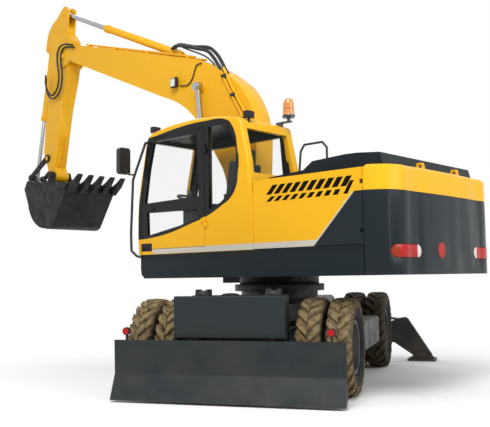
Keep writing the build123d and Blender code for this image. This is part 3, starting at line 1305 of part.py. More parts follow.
with BuildPart() as boom:
    outline(boom_plane(), BOOM_OUTLINE, 2 * BOOM_HALF_W)
    disc(boom_plane(), (0.0, 0.0), BOOM_FOOT_R, 2 * BOOM_HALF_W)
    disc(boom_plane(), (BOOM_LEN, 0.0), BOOM_TIP_R, 2 * BOOM_HALF_W)
    disc(boom_plane(), BOOM_RAM_EYE, 85.0, 2 * BOOM_BOSS_HALF)
    slab(
        boom_plane(),
        [
            (BOOM_LEN - FORK_LEN, -400.0),
            (BOOM_LEN + 400.0, -400.0),
            (BOOM_LEN + 400.0, 600.0),
            (BOOM_LEN - FORK_LEN, 600.0),
        ],
        2 * FORK_HALF_W,
        mode=Mode.SUBTRACT,
    )
    disc(boom_plane(), (0.0, 0.0), FOOT_PIN_R + RUN_GAP, 4 * BOOM_HALF_W, mode=Mode.SUBTRACT)
    disc(boom_plane(), (BOOM_LEN, 0.0), TIP_PIN_R, 2 * BOOM_HALF_W + 44.0)
    for side in (-1, 1):
        slab(boom_plane(side * (ARM_RAM_W / 2 + SIDE_GAP + 13.0)), ARM_LUG, 26.0)
        pipe_y = BOOM_Y + side * PIPE_Y
        runs = [(2300.0, 1405.0), (2900.0, 1187.0), (4950.0, 439.0)]
        places = [along(BOOM_FOOT, BOOM_TURN, run) for run in runs]
        tube([(x, pipe_y, z) for x, z in places], PIPE_R)
        for u, v in ((2420.0, 1342.0), (3350.0, 1002.0), (4150.0, 712.0), (4850.0, 457.0)):
            x, z = along(BOOM_FOOT, BOOM_TURN, (u, v))
            bar((x, pipe_y - 42.0, z), (x, pipe_y + 42.0, z), 24.0)
    disc(boom_plane(), ARM_RAM_BASE, 40.0, ARM_RAM_W + 2 * (SIDE_GAP + 40.0))
write(boom, "boom", SLEW_DEG)

# Boom cylinders, one each side.
RAM_EYE_AT = along(BOOM_FOOT, BOOM_TURN, BOOM_RAM_EYE)
BOOM_RAM_TURN = heading(BOOM_RAM_BASE, RAM_EYE_AT)
BOOM_RAM_LEN = reach(BOOM_RAM_BASE, RAM_EYE_AT)
BOOM_BARREL_LEN = 1350.0
BOOM_BARREL_R = 58.0
BOOM_ROD_R = 38.0
RAM_W = 84.0
with BuildPart() as boom_barrels:
    for side in (-1, 1):
        plane = side_plane(BOOM_Y + side * BOOM_RAM_Y, BOOM_RAM_BASE, BOOM_RAM_TURN)
        ram_barrel(plane, BOOM_BARREL_LEN, BOOM_BARREL_R, BOOM_ROD_R, 68.0, 40.0, RAM_W)
        bar(
            tuple(plane.from_local_coords(Vector(200.0, BOOM_BARREL_R + 8.0, 0))),
            tuple(plane.from_local_coords(Vector(1240.0, BOOM_BARREL_R + 8.0, 0))),
            12.0,
        )
write(boom_barrels, "boom_barrels", SLEW_DEG)

with BuildPart() as boom_rods:
    for side in (-1, 1):
        plane = side_plane(BOOM_Y + side * BOOM_RAM_Y, BOOM_RAM_BASE, BOOM_RAM_TURN)
        ram_rod(plane, 810.0, BOOM_RAM_LEN, BOOM_ROD_R, 66.0, RAM_W)
        cap_y = BOOM_Y + side * (BOOM_RAM_Y + RAM_W / 2 + 6.0)
        disc(side_plane(cap_y), RAM_EYE_AT, 40.0, 14.0)
write(boom_rods, "boom_rods", SLEW_DEG)

# Arm cylinder on the boom's back.
ARM_EYE_AT = along(BOOM_TIP, ARM_TURN, ARM_RAM_EYE)
ARM_BASE_AT = along(BOOM_FOOT, BOOM_TURN, ARM_RAM_BASE)
ARM_RAM_TURN = heading(ARM_BASE_AT, ARM_EYE_AT)
ARM_RAM_LEN = reach(ARM_BASE_AT, ARM_EYE_AT)
ARM_BARREL_LEN = 1955.0
ARM_ROD_R = 42.0
with BuildPart() as arm_barrel:
    plane = side_plane(BOOM_Y, ARM_BASE_AT, ARM_RAM_TURN)
    ram_barrel(plane, ARM_BARREL_LEN, 62.0, ARM_ROD_R, 62.0, 40.0, ARM_RAM_W)
write(arm_barrel, "arm_barrel", SLEW_DEG)

with BuildPart() as arm_rod:
    plane = side_plane(BOOM_Y, ARM_BASE_AT, ARM_RAM_TURN)
    ram_rod(plane, 1030.0, ARM_RAM_LEN, ARM_ROD_R, 66.0, ARM_RAM_W)
write(arm_rod, "arm_rod", SLEW_DEG)

# Arm: a box with a narrower slotted head, bosses at its pins and wear ribs on its back.
ARM_BOX = [  # down and ahead of the pin line
    (-430.0, 95.0),
    (-300.0, -55.0),
    (150.0, -125.0),
    (388.0, -112.0),
    (709.0, -66.0),
    (951.0, -32.0),
    (1400.0, -8.0),
    (1980.0, 10.0),
    (ARM_LEN, -90.0),
    (2190.0, 100.0),
    (1745.0, 393.0),
    (1153.0, 425.0),
    (700.0, 455.0),
    (0.0, 495.0),
    (-430.0, 530.0),
]
ARM_HEAD = [  # passed through, end: down and ahead of the pin line
    (None, (-420.0, 80.0)),
    (None, (-640.0, 98.0)),
    (None, (-783.0, 103.0)),
    ((-905.0, 160.0), (-919.0, 286.0)),
    ((-800.0, 400.0), (-700.0, 480.0)),
    ((-570.0, 640.0), (-320.0, 722.0)),
    (None, (-190.0, 728.0)),
    ((-130.0, 705.0), (-95.0, 640.0)),
    (None, (-40.0, 480.0)),
    (None, (-100.0, 300.0)),
]
HEAD_SLOTS = [
    [  # for the arm cylinder's rod
        (-1100.0, -300.0),
        (-1100.0, 560.0),
        (-800.0, 560.0),
        (-800.0, 440.0),
        (-725.0, 330.0),
        (-675.0, 262.0),
        (-430.0, -30.0),
        (-430.0, -300.0),
    ],
    [  # for the bucket cylinder's base
        (-300.0, 532.0),
        (-300.0, 900.0),
        (200.0, 900.0),
        (200.0, 532.0),
    ],
]
ARM_END_R = 108.0
ROCKER_PIN_R = 35.0
with BuildPart() as arm:
    slab(arm_plane(), ARM_BOX, 2 * ARM_HALF_W)
    disc(arm_plane(), (0.0, 0.0), 135.0, 2 * ARM_HALF_W)
    disc(arm_plane(), (ARM_LEN, 0.0), ARM_END_R, 2 * ARM_HALF_W)
    disc(arm_plane(), ROCKER_PIN, 72.0, 2 * ARM_HALF_W)
    outline(arm_plane(), ARM_HEAD, 2 * HEAD_HALF_W)
    for slot in HEAD_SLOTS:
        slab(arm_plane(), slot, 2 * HEAD_SLOT, mode=Mode.SUBTRACT)
    disc(arm_plane(), (0.0, 0.0), TIP_PIN_R + RUN_GAP, 4 * ARM_HALF_W, mode=Mode.SUBTRACT)
    disc(arm_plane(), (ARM_LEN, 0.0), TIP_PIN_R + RUN_GAP, 4 * ARM_HALF_W, mode=Mode.SUBTRACT)
    disc(arm_plane(), BUCKET_RAM_BASE, 38.0, 2 * HEAD_HALF_W + 30.0)
    for side in (-1, 1):
        disc(arm_plane(side * (HEAD_HALF_W + 7.0)), ARM_RAM_EYE, 46.0, 16.0)
        slab(
            arm_plane(side * 45.0),
            [(1420.0, 20.0), (1450.0, -34.0), (1960.0, -18.0), (2040.0, 20.0)],
            28.0,
        )
    disc(arm_plane(), ROCKER_PIN, ROCKER_PIN_R, 2 * (ARM_HALF_W + 34.0))
write(arm, "arm", SLEW_DEG)

# Rockers: the pair of levers beside the arm that turn the bucket.
ROCKER_AT = along(BOOM_TIP, ARM_TURN, ROCKER_PIN)
ROCKER_EYE_AT = (BUCKET_PIN[0] + ROCKER_EYE[0], BUCKET_PIN[1] + ROCKER_EYE[1])
LINK_EYE_AT = (BUCKET_PIN[0] + LINK_EYE[0], BUCKET_PIN[1] + LINK_EYE[1])
ROCKER_TURN = heading(ROCKER_AT, ROCKER_EYE_AT)
ROCKER_LEN = reach(ROCKER_AT, ROCKER_EYE_AT)
ROCKER_IN = ARM_HALF_W + SIDE_GAP
ROCKER_T = 28.0
EYE_W = 90.0
KNEE_PIN_R = 34.0
with BuildPart() as rockers:
    for side in (-1, 1):
        plane = side_plane(BOOM_Y + side * (ROCKER_IN + ROCKER_T / 2), ROCKER_AT, ROCKER_TURN)
        slab(plane, [(0, -45), (ROCKER_LEN, -42), (ROCKER_LEN, 42), (0, 62)], ROCKER_T)
        disc(plane, (0.0, 0.0), 68.0, ROCKER_T)
        disc(plane, (ROCKER_LEN, 0.0), 60.0, ROCKER_T)
        disc(plane, (0.0, 0.0), ROCKER_PIN_R + RUN_GAP, 2 * ROCKER_T, mode=Mode.SUBTRACT)
        stub = (EYE_W / 2 + SIDE_GAP, ROCKER_IN + ROCKER_T + 6.0)
        disc(
            side_plane(BOOM_Y + side * sum(stub) / 2, ROCKER_AT, ROCKER_TURN),
            (ROCKER_LEN, 0.0),
            KNEE_PIN_R,
            stub[1] - stub[0],
        )
write(rockers, "rockers", SLEW_DEG)

# Bucket link: two bars from the rocker's knee pin to one wide eye in the bucket's ears.
LINK_TURN = heading(ROCKER_EYE_AT, LINK_EYE_AT)
LINK_REACH = reach(ROCKER_EYE_AT, LINK_EYE_AT)
LINK_BAR_T = 66.0
LINK_BAR_Y = EYE_W / 2 + 2 * SIDE_GAP + LINK_BAR_T / 2
EAR_IN = 160.0
EAR_T = 30.0
with BuildPart() as link:
    for side in (-1, 1):
        plane = side_plane(BOOM_Y + side * LINK_BAR_Y, ROCKER_EYE_AT, LINK_TURN)
        slab(plane, [(0, -34), (LINK_REACH, -34), (LINK_REACH, 34), (0, 34)], LINK_BAR_T)
        disc(plane, (0.0, 0.0), 56.0, LINK_BAR_T)
    plane = side_plane(BOOM_Y, ROCKER_EYE_AT, LINK_TURN)
    disc(plane, (LINK_REACH, 0.0), 50.0, 2 * (EAR_IN - SIDE_GAP))
    slab(
        plane,
        [(LINK_REACH - 260.0, -34), (LINK_REACH, -34), (LINK_REACH, 34), (LINK_REACH - 260.0, 34)],
        2 * LINK_BAR_Y,
    )
    disc(plane, (0.0, 0.0), KNEE_PIN_R + RUN_GAP, 400.0, mode=Mode.SUBTRACT)
write(link, "bucket_link", SLEW_DEG)

# Bucket cylinder ahead of the arm.
BUCKET_BASE_AT = along(BOOM_TIP, ARM_TURN, BUCKET_RAM_BASE)
BUCKET_RAM_TURN = heading(BUCKET_BASE_AT, ROCKER_EYE_AT)
BUCKET_RAM_LEN = reach(BUCKET_BASE_AT, ROCKER_EYE_AT)
BUCKET_BARREL_LEN = 1337.0
BUCKET_ROD_R = 36.0
with BuildPart() as bucket_barrel:
    plane = side_plane(BOOM_Y, BUCKET_BASE_AT, BUCKET_RAM_TURN)
    ram_barrel(plane, BUCKET_BARREL_LEN, 54.0, BUCKET_ROD_R, 66.0, 38.0, 2 * (HEAD_SLOT - SIDE_GAP))
write(bucket_barrel, "bucket_barrel", SLEW_DEG)

with BuildPart() as bucket_rod:
    plane = side_plane(BOOM_Y, BUCKET_BASE_AT, BUCKET_RAM_TURN)
    ram_rod(plane, 840.0, BUCKET_RAM_LEN, BUCKET_ROD_R, 56.0, EYE_W)
write(bucket_rod, "bucket_rod", SLEW_DEG)

# Bucket: a wrapped shell between two side plates, ears astride the arm, a lip and five teeth.
BUCKET_HALF_W = 500.0
SHELL_T = 25.0
SHELL = [  # passed through, end: x, z from the pin
    (None, (-150.0, -157.0)),
    (None, (262.0, -94.0)),
    (None, (353.0, -241.0)),
    (None, (224.0, -514.0)),
    ((30.0, -840.0), (-314.0, -973.0)),
    ((-430.0, -985.0), (-545.0, -935.0)),
    (None, (-985.0, -284.0)),
    (None, (-965.0, -262.0)),
    (None, (-960.0, -284.0)),
]
HOLLOW = [  # passed through, end: x, z from the pin
    (None, (-150.0, -182.0)),
    (None, (248.0, -121.0)),
    (None, (325.0, -243.0)),
    (None, (201.0, -503.0)),
    ((10.0, -820.0), (-314.0, -948.0)),
    ((-425.0, -960.0), (-525.0, -918.0)),
    (None, (-962.0, -275.0)),
    (None, (-1100.0, -100.0)),
    (None, (-152.0, -100.0)),
]
POCKET = [  # x, z from the pin
    (-260.0, 60.0),
    (-195.0, -200.0),
    (-70.0, -395.0),
    (225.0, -532.0),
    (480.0, -300.0),
    (480.0, 60.0),
]
POCKET_FLOOR = [  # x, z from the pin
    (-184.0, -165.0),
    (-70.0, -393.0),
    (214.0, -525.0),
    (202.0, -549.0),
    (-85.0, -420.0),
    (-210.0, -176.0),
]
POCKET_SIDE = [  # x, z from the pin
    (-184.0, -162.0),
    (262.0, -94.0),
    (353.0, -241.0),
    (224.0, -514.0),
    (213.0, -530.0),
    (-75.0, -400.0),
]
POCKET_SIDE_T = 12.0
EAR = [  # x, z from the pin
    (-85.0, 0.0),
    (-165.0, -175.0),
    (-60.0, -402.0),
    (205.0, -526.0),
    (262.0, -434.0),
    (150.0, -270.0),
    (85.0, -60.0),
    (70.0, 40.0),
]
TOOTH = [  # x, z from the pin
    (-930.0, -335.0),
    (-985.0, -262.0),
    (-1130.0, -200.0),
    (-1262.0, -118.0),
    (-1275.0, -132.0),
    (-1175.0, -265.0),
    (-1000.0, -400.0),
]
TEETH_Y = (-440.0, -220.0, 0.0, 220.0, 440.0)
with BuildPart() as bucket:
    outline(bucket_plane(), SHELL, 2 * BUCKET_HALF_W)
    outline(bucket_plane(), HOLLOW, 2 * (BUCKET_HALF_W - SHELL_T), mode=Mode.SUBTRACT)
    slab(bucket_plane(), POCKET, 2 * (EAR_IN + EAR_T), mode=Mode.SUBTRACT)
    slab(bucket_plane(), POCKET_FLOOR, 2 * (EAR_IN + EAR_T))
    for side in (-1, 1):
        ear_y = side * (EAR_IN + EAR_T / 2)
        slab(bucket_plane(ear_y), EAR, EAR_T)
        slab(bucket_plane(side * (EAR_IN + EAR_T - POCKET_SIDE_T / 2)), POCKET_SIDE, POCKET_SIDE_T)
        disc(bucket_plane(ear_y), (0.0, 0.0), 85.0, EAR_T)
        disc(bucket_plane(ear_y), LINK_EYE, 62.0, EAR_T)
        disc(bucket_plane(side * (EAR_IN + ARM_HALF_W + SIDE_GAP) / 2), (0.0, 0.0), 74.0, EAR_IN - ARM_HALF_W - SIDE_GAP)
        disc(bucket_plane(side * (EAR_IN + EAR_T + 6.0)), LINK_EYE, 36.0, 14.0)
        slab(
            bucket_plane(side * (BUCKET_HALF_W + 10.0)),
            [(-905.0, -330.0), (-1010.0, -262.0), (-970.0, -240.0), (-640.0, -215.0), (-700.0, -330.0)],
            22.0,
        )
    disc(bucket_plane(), (0.0, 0.0), TIP_PIN_R, 2 * (EAR_IN + EAR_T + 12.0))
    slab(
        bucket_plane(),
        [(-905.0, -385.0), (-1010.0, -240.0), (-985.0, -232.0), (-880.0, -368.0)],
        2 * BUCKET_HALF_W + 20.0,
    )
    for y in TEETH_Y:
        slab(bucket_plane(y), TOOTH, 92.0)
write(bucket, "bucket", SLEW_DEG)
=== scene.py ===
import bpy
import mathutils
import numpy as np
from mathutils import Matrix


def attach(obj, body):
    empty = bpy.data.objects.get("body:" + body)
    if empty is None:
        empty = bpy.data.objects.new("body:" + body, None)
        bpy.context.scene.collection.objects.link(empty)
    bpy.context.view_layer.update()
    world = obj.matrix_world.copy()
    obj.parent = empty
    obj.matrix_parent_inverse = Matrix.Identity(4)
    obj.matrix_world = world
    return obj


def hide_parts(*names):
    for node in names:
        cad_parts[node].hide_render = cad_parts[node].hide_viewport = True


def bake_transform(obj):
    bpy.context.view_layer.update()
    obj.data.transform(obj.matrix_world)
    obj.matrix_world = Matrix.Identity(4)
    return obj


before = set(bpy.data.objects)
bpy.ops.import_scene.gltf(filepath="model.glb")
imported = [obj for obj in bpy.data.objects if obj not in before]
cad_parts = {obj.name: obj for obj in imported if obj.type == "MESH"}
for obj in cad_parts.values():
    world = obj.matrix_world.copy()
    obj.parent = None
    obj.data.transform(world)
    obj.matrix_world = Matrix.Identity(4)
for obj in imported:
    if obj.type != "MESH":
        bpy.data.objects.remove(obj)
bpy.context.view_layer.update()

# ---------------------------------------------------------------------------------------
# Boom, arm and cylinder barrels: welded boxes of bent steel plate, sprayed with a thick
# two-pack machine yellow. The paint gives the eye a soft gloss, rounder edges than the
# steel below it, and a faint unevenness in the gloss.
YELLOW = "#e8ad12"
PLATE_EDGE = 0.005
SMALL_EDGE = 0.002
WELD_GAP = 0.00005
SHARP_FROM = np.radians(32.0)


def linear(text):
    """sRGB hex to linear: c / 12.92 up to 0.04045, above it ((c + 0.055) / 1.055) ** 2.4."""
    c = np.array([int(text[i:i + 2], 16) for i in (1, 3, 5)]) / 255.0
    c = np.where(c <= 0.04045, c / 12.92, ((c + 0.055) / 1.055) ** 2.4)
    return (*c.tolist(), 1.0)


def add(tree, kind, settings=None, links=None):
    """Adds one shader node: settings go to its sockets or properties, links to its sockets."""
    node = tree.nodes.new("ShaderNode" + kind)
    for key, value in (settings or {}).items():
        if isinstance(key, int) or key in node.inputs:
            node.inputs[key].default_value = value
        else:
            setattr(node, key, value)
    for key, source in (links or {}).items():
        tree.links.new(source, node.inputs[key])
    return node


def finish(name, colour, **sockets):
    """A material with one Principled shader; returns it with its tree and shader."""
    material = bpy.data.materials.new(name)
    material.use_nodes = True
    tree = material.node_tree
    shader = tree.nodes["Principled BSDF"]
    shader.inputs["Base Color"].default_value = linear(colour)
    for socket, value in sockets.items():
        shader.inputs[socket.replace("_", " ")].default_value = value
    return material, tree, shader


def noise(tree, place, scale, detail, roughness=0.5):
    """Fractal noise from 0 to 1 in the object's own space, in blotches about 1 / scale metres wide."""
    node = add(
        tree, "TexNoise", {"Scale": scale, "Detail": detail, "Roughness": roughness},
        {"Vector": place.outputs["Object"]},
    )
    return node.outputs["Fac"]


def spread(tree, value, low, high, to_low=0.0, to_high=1.0):
    """to_low + (to_high - to_low) * (value - low) / (high - low), held between its two ends."""
    node = add(
        tree, "MapRange", {"From Min": low, "From Max": high, "To Min": to_low, "To Max": to_high},
        {"Value": value},
    )
    return node.outputs["Result"]


def uneven_gloss(tree, shader, low, high, scale):
    """Roughness = low + (high - low) * noise, with blotches about 1 / scale metres wide."""
    place = add(tree, "TexCoord")
    rough = spread(tree, noise(tree, place, scale, 4.0), 0.35, 0.65, low, high)
    tree.links.new(rough, shader.inputs["Roughness"])
    return place


def dress(node, material, edge=PLATE_EDGE):
    """Gives a CAD piece its finish, with its loose triangles joined and its edges rounded."""
    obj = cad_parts[node]
    obj.data.materials.clear()
    obj.data.materials.append(material)
    if edge:
        weld = obj.modifiers.new("joined", "WELD")
        weld.merge_threshold = WELD_GAP
        bevel = obj.modifiers.new("rounded", "BEVEL")
        bevel.width = edge
        bevel.segments = 2
        bevel.limit_method = "ANGLE"
        bevel.angle_limit = SHARP_FROM
        bevel.harden_normals = True
    return obj


machine_yellow, tree, shader = finish(
    "machine yellow two-pack paint", YELLOW, Coat_Weight=0.1, Coat_Roughness=0.15, Specular_IOR_Level=0.25
)
uneven_gloss(tree, shader, 0.32, 0.46, 5.0)
for node in ("boom", "arm", "boom_barrels", "arm_barrel", "bucket_barrel"):
    dress(node, machine_yellow)

# ---------------------------------------------------------------------------------------
# Cylinder rods: steel bars, hard-chromed, then ground and polished, so that they mirror what
# stands round them and look white or yellow by turns.
rod_chrome = finish("hard chrome", "#aeb1b5", Metallic=1.0, Roughness=0.2)[0]
for node in ("boom_rods", "arm_rod", "bucket_rod", "blade_rods", "jack_rod_left", "jack_rod_right"):
    dress(node, rod_chrome, SMALL_EDGE)

# ---------------------------------------------------------------------------------------
# Bucket, rockers and link: wear steel in black primer, rubbed by soil, so it is nearly
# matt and turns greyer in broad blotches.
BUCKET_BLACK = "#131414"
BUCKET_WORN = "#2c2b29"
MOST_WORN = 0.8


def colour_over(tree, below, above, share):
    """Lays a colour over another by a share; each colour is hex text or a node's output."""
    node = add(tree, "Mix", {"data_type": "RGBA"}, {0: share})
    for socket, value in ((6, below), (7, above)):
        if isinstance(value, str):
            node.inputs[socket].default_value = linear(value)
        else:
            tree.links.new(value, node.inputs[socket])
    return node.outputs[2]


bucket_black, tree, shader = finish("black primer on wear steel", BUCKET_BLACK, Specular_IOR_Level=0.35)
place = uneven_gloss(tree, shader, 0.45, 0.7, 9.0)
worn = spread(tree, noise(tree, place, 3.0, 6.0, 0.65), 0.5, 0.72, to_high=MOST_WORN)
tree.links.new(colour_over(tree, BUCKET_BLACK, BUCKET_WORN, worn), shader.inputs["Base Color"])
for node in ("bucket", "bucket_link", "rockers"):
    dress(node, bucket_black)

# ---------------------------------------------------------------------------------------
# Undercarriage: blade and guard in charcoal paint, frame, axles and outriggers in black, with
# tan road dust that lies thicker the lower it is. The engine block is cast iron in the same black.
# The frame's near black is partly black paint and partly painted shade under the house.
CHARCOAL = "#1e272b"
ROAD_DUST = "#7d6c52"
DUST_TOP_Z = 1.1


def math(tree, operation, a, b=None):
    """One Math node: each of a and b is a number or another node's output."""
    node = add(tree, "Math", {"operation": operation})
    for i, value in enumerate((a, b)):
        if isinstance(value, (int, float)):
            node.inputs[i].default_value = value
        elif value is not None:
            tree.links.new(value, node.inputs[i])
    return node.outputs["Value"]


def dusty(name, colour, dust, **sockets):
    """Paint under dust: dust share = dust * (1 - z / DUST_TOP_Z) * noise, in broad blotches."""
    material, tree, shader = finish(name, colour, **sockets)
    place = uneven_gloss(tree, shader, 0.42, 0.62, 6.0)
    height = add(tree, "SeparateXYZ", None, {0: place.outputs["Object"]}).outputs["Z"]
    low = spread(tree, height, DUST_TOP_Z, 0.0, to_high=dust)
    patch = spread(tree, noise(tree, place, 2.5, 8.0, 0.6), 0.35, 0.7)
    share = math(tree, "MULTIPLY", low, patch)
    tree.links.new(colour_over(tree, colour, ROAD_DUST, share), shader.inputs["Base Color"])
    return material


charcoal_paint = dusty("charcoal paint under road dust", CHARCOAL, dust=0.16, Specular_IOR_Level=0.25)
for node in ("blade_guard", "blade"):
    dress(node, charcoal_paint)
# Black paint, made darker still as painted shade under the house.
frame_black_and_shade = dusty("black paint on welded plate under dust", "#16191b", dust=0.3)
for node in (
    "chassis_frame", "step_boxes", "blade_arms", "blade_links", "blade_barrels", "outrigger_left",
    "outrigger_right", "jack_barrel_left", "jack_barrel_right",
):
    dress(node, frame_black_and_shade)
axle_black = dusty("black paint on cast iron under dust", "#15181a", dust=0.4)
for node in (
    "rear_axle", "steer_axle", "driveline", "knuckle_left", "knuckle_right", "tie_rod", "engine_block",
):
    dress(node, axle_black)

# ---------------------------------------------------------------------------------------
# Twin wheels: pressed steel rims in dark grey paint under road dust. Ten zinc-plated nuts on
# one circle hold each pair to its hub.
WHEEL_PLACES = {
    "rear_left": (-1.454, 1), "rear_right": (-1.454, -1),
    "front_left": (1.274, 1), "front_right": (1.274, -1),
}
AXLE_Z = 0.527
NUT_CIRCLE_R = 0.178
NUT_R = 0.015
NUT_FACE_Y = 0.972
NUT_HEIGHT = 0.02
NUTS = 10


def shape(name, points, faces, material, body, slot, smooth=False, crease=None):
    """A mesh from an array of points and an array of faces, riding on a body if one is given."""
    mesh = bpy.data.meshes.new(name)
    mesh.from_pydata(np.asarray(points).tolist(), [], np.asarray(faces).tolist())
    mesh.polygons.foreach_set("use_smooth", np.full(len(mesh.polygons), smooth))
    mesh.update()
    mesh.materials.append(material)
    obj = bpy.data.objects.new(name, mesh)
    bpy.context.scene.collection.objects.link(obj)
    if crease:
        bevel = obj.modifiers.new("rounded", "BEVEL")
        bevel.width = crease
        bevel.segments = 2
        bevel.limit_method = "ANGLE"
    if body:
        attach(obj, body)
    return obj


def many(points, faces, shifts):
    """Copies of one shape: every point plus every shift, and the faces counted on."""
    points, faces, shifts = np.asarray(points, float), np.asarray(faces), np.asarray(shifts, float)
    all_points = (points[None] + shifts[:, None]).reshape(-1, 3)
    all_faces = faces[None] + len(points) * np.arange(len(shifts))[:, None, None]
    return all_points, all_faces.reshape(-1, faces.shape[1])


def prism(radius, height, sides, axis, turn=0.0):
    """A closed prism of quads along an axis: rings at 0 and height, centre points as caps."""
    a = turn + 2 * np.pi * np.arange(sides) / sides
    ring = np.stack([radius * np.cos(a), radius * np.sin(a)], 1)
    points = np.zeros((2 * sides + 2, 3))
    u, v = [(1, 2), (2, 0), (0, 1)][axis]
    points[:sides, u], points[:sides, v] = ring.T
    points[sides:2 * sides, u], points[sides:2 * sides, v] = ring.T
    points[sides:2 * sides, axis] = height
    points[-1, axis] = height
    i = np.arange(sides)
    j = (i + 1) % sides
    walls = np.stack([np.r_[i, i], np.r_[j, j + sides], np.r_[j + sides, i + sides]], 1)
    low = np.stack([np.full(sides, 2 * sides), j, i], 1)
    high = np.stack([np.full(sides, 2 * sides + 1), i + sides, j + sides], 1)
    return points, np.vstack([walls, low, high])


rim_paint = dusty("dark grey rim paint under dust", "#2b2f31", dust=0.35)
nut_zinc = finish("zinc-plated steel", "#8b8a84", Metallic=1.0, Roughness=0.4)[0]
for corner, (x, side) in WHEEL_PLACES.items():
    dress("wheels_" + corner, rim_paint, SMALL_EDGE)
    turn = 2 * np.pi * np.arange(NUTS) / NUTS
    across, up = x + NUT_CIRCLE_R * np.cos(turn), AXLE_Z + NUT_CIRCLE_R * np.sin(turn)
    places = np.stack([across, np.full(NUTS, side * NUT_FACE_Y), up], 1)
    nut, nut_faces = prism(NUT_R, side * NUT_HEIGHT, sides=6, axis=1)
    shape("wheel_nuts_" + corner, *many(nut, nut_faces, places), nut_zinc, "wheel_" + corner, "rim_grey")

# ---------------------------------------------------------------------------------------
# Tyres: moulded rubber with deep chevron lugs. The lugs carry dried tan mud, and the side
# walls stay black; the lug's own height is part of the mesh. The front tyres get only a quarter
# of the mud, which keeps them darker: painted shade under the machine.
TYRE_MIDS = (0.79, 1.11)
CARCASS = np.array([  # from the tyre's middle, radius, mud share
    (-0.089, 0.262, 0.0), (-0.089, 0.291, 0.0), (-0.118, 0.318, 0.0), (-0.134, 0.36, 0.0),
    (-0.139, 0.4, 0.05), (-0.134, 0.44, 0.2), (-0.122, 0.468, 0.6), (-0.1, 0.484, 1.0),
    (-0.05, 0.492, 1.0), (0.0, 0.494, 1.0),
])
LUGS = 22
LUG_HALF_W = 0.046
LUG_RUN = np.array([  # out from the middle, how far it trails round, top radius
    (0.004, 0.0, 0.5262), (0.045, 0.038, 0.5258), (0.09, 0.086, 0.5215), (0.12, 0.124, 0.51),
    (0.137, 0.142, 0.478),
])
LUG_FOOT_R = (0.488, 0.486, 0.48, 0.462, 0.428)
LUG_MUD = (1.0, 1.0, 1.0, 0.9, 0.6)
LUG_LEVEL_R = 0.5
FOOT_SPREAD = 1.25
TOP_SPREAD = 0.8
# Mud share of the front tyres: less light mud leaves them darker, as painted shade under the machine.
FRONT_MUD_AND_SHADE = 0.25
RUBBER_BLACK = "#191919"
MUD_DARK = "#5f4f37"
MUD_LIGHT = "#9a8560"


def tyre_points(angle, across, radius, x, mid, side):
    """x + r cos(a), side * (mid + across), axle + r sin(a)."""
    y = side * (mid + across) + 0 * angle
    return np.stack([x + radius * np.cos(angle), y, AXLE_Z + radius * np.sin(angle)], -1)


def carcass(x, mid, side, steps=64):
    """The tyre's section turned right round: a closed grid of angle by section."""
    section = np.vstack([CARCASS, CARCASS[-2::-1] * (-1, 1, 1)])
    a = 2 * np.pi * np.arange(steps)[:, None] / steps
    points = tyre_points(a + 0 * section[:, 0], section[:, 0] + 0 * a, section[:, 1] + 0 * a, x, mid, side)
    n = len(section)
    i, k = np.meshgrid(np.arange(steps), np.arange(n), indexing="ij")
    up, right = (i + 1) % steps, (k + 1) % n
    faces = np.stack([i * n + k, i * n + right, up * n + right, up * n + k], -1).reshape(-1, 4)
    mud = np.broadcast_to(section[:, 2], (steps, n)).reshape(-1)
    return points.reshape(-1, 3), faces, mud


def lugs(x, mid, side):
    """Each lug is a box bent along LUG_RUN: four corners at each station, both hands."""
    out, trail, top = LUG_RUN.T
    foot = np.array(LUG_FOOT_R)
    hand = np.array([1, -1])[:, None, None]
    count = np.arange(LUGS)[None, :, None]
    middle = 2 * np.pi * (count + 0.25 * hand) / LUGS - trail / LUG_LEVEL_R
    half = LUG_HALF_W / LUG_LEVEL_R
    low, high = half * FOOT_SPREAD, half * TOP_SPREAD
    corner = [(-low, foot), (-high, top), (high, top), (low, foot)]
    across = hand * (out + 0 * middle)
    points = np.stack(
        [tyre_points(middle + da, across, r + 0 * middle, x, mid, side) for da, r in corner], -2
    )
    hands, number, stations = middle.shape
    base = np.arange(hands * number)[:, None, None] * stations * 4
    s, c = np.meshgrid(np.arange(stations - 1), np.arange(4), indexing="ij")
    after = (c + 1) % 4
    wall = np.stack([s * 4 + c, s * 4 + after, s * 4 + 4 + after, s * 4 + 4 + c], -1).reshape(-1, 4)
    caps = np.array([[3, 2, 1, 0], [stations * 4 - 4, stations * 4 - 3, stations * 4 - 2, stations * 4 - 1]])
    faces = (np.vstack([wall, caps])[None] + base).reshape(-1, 4)
    flip = np.repeat([0, 1], number * (len(wall) + 2)).astype(bool)
    faces[flip] = faces[flip][:, ::-1]
    mud = np.repeat(LUG_MUD, 4)
    return points.reshape(-1, 3), faces, np.tile(mud, hands * number)


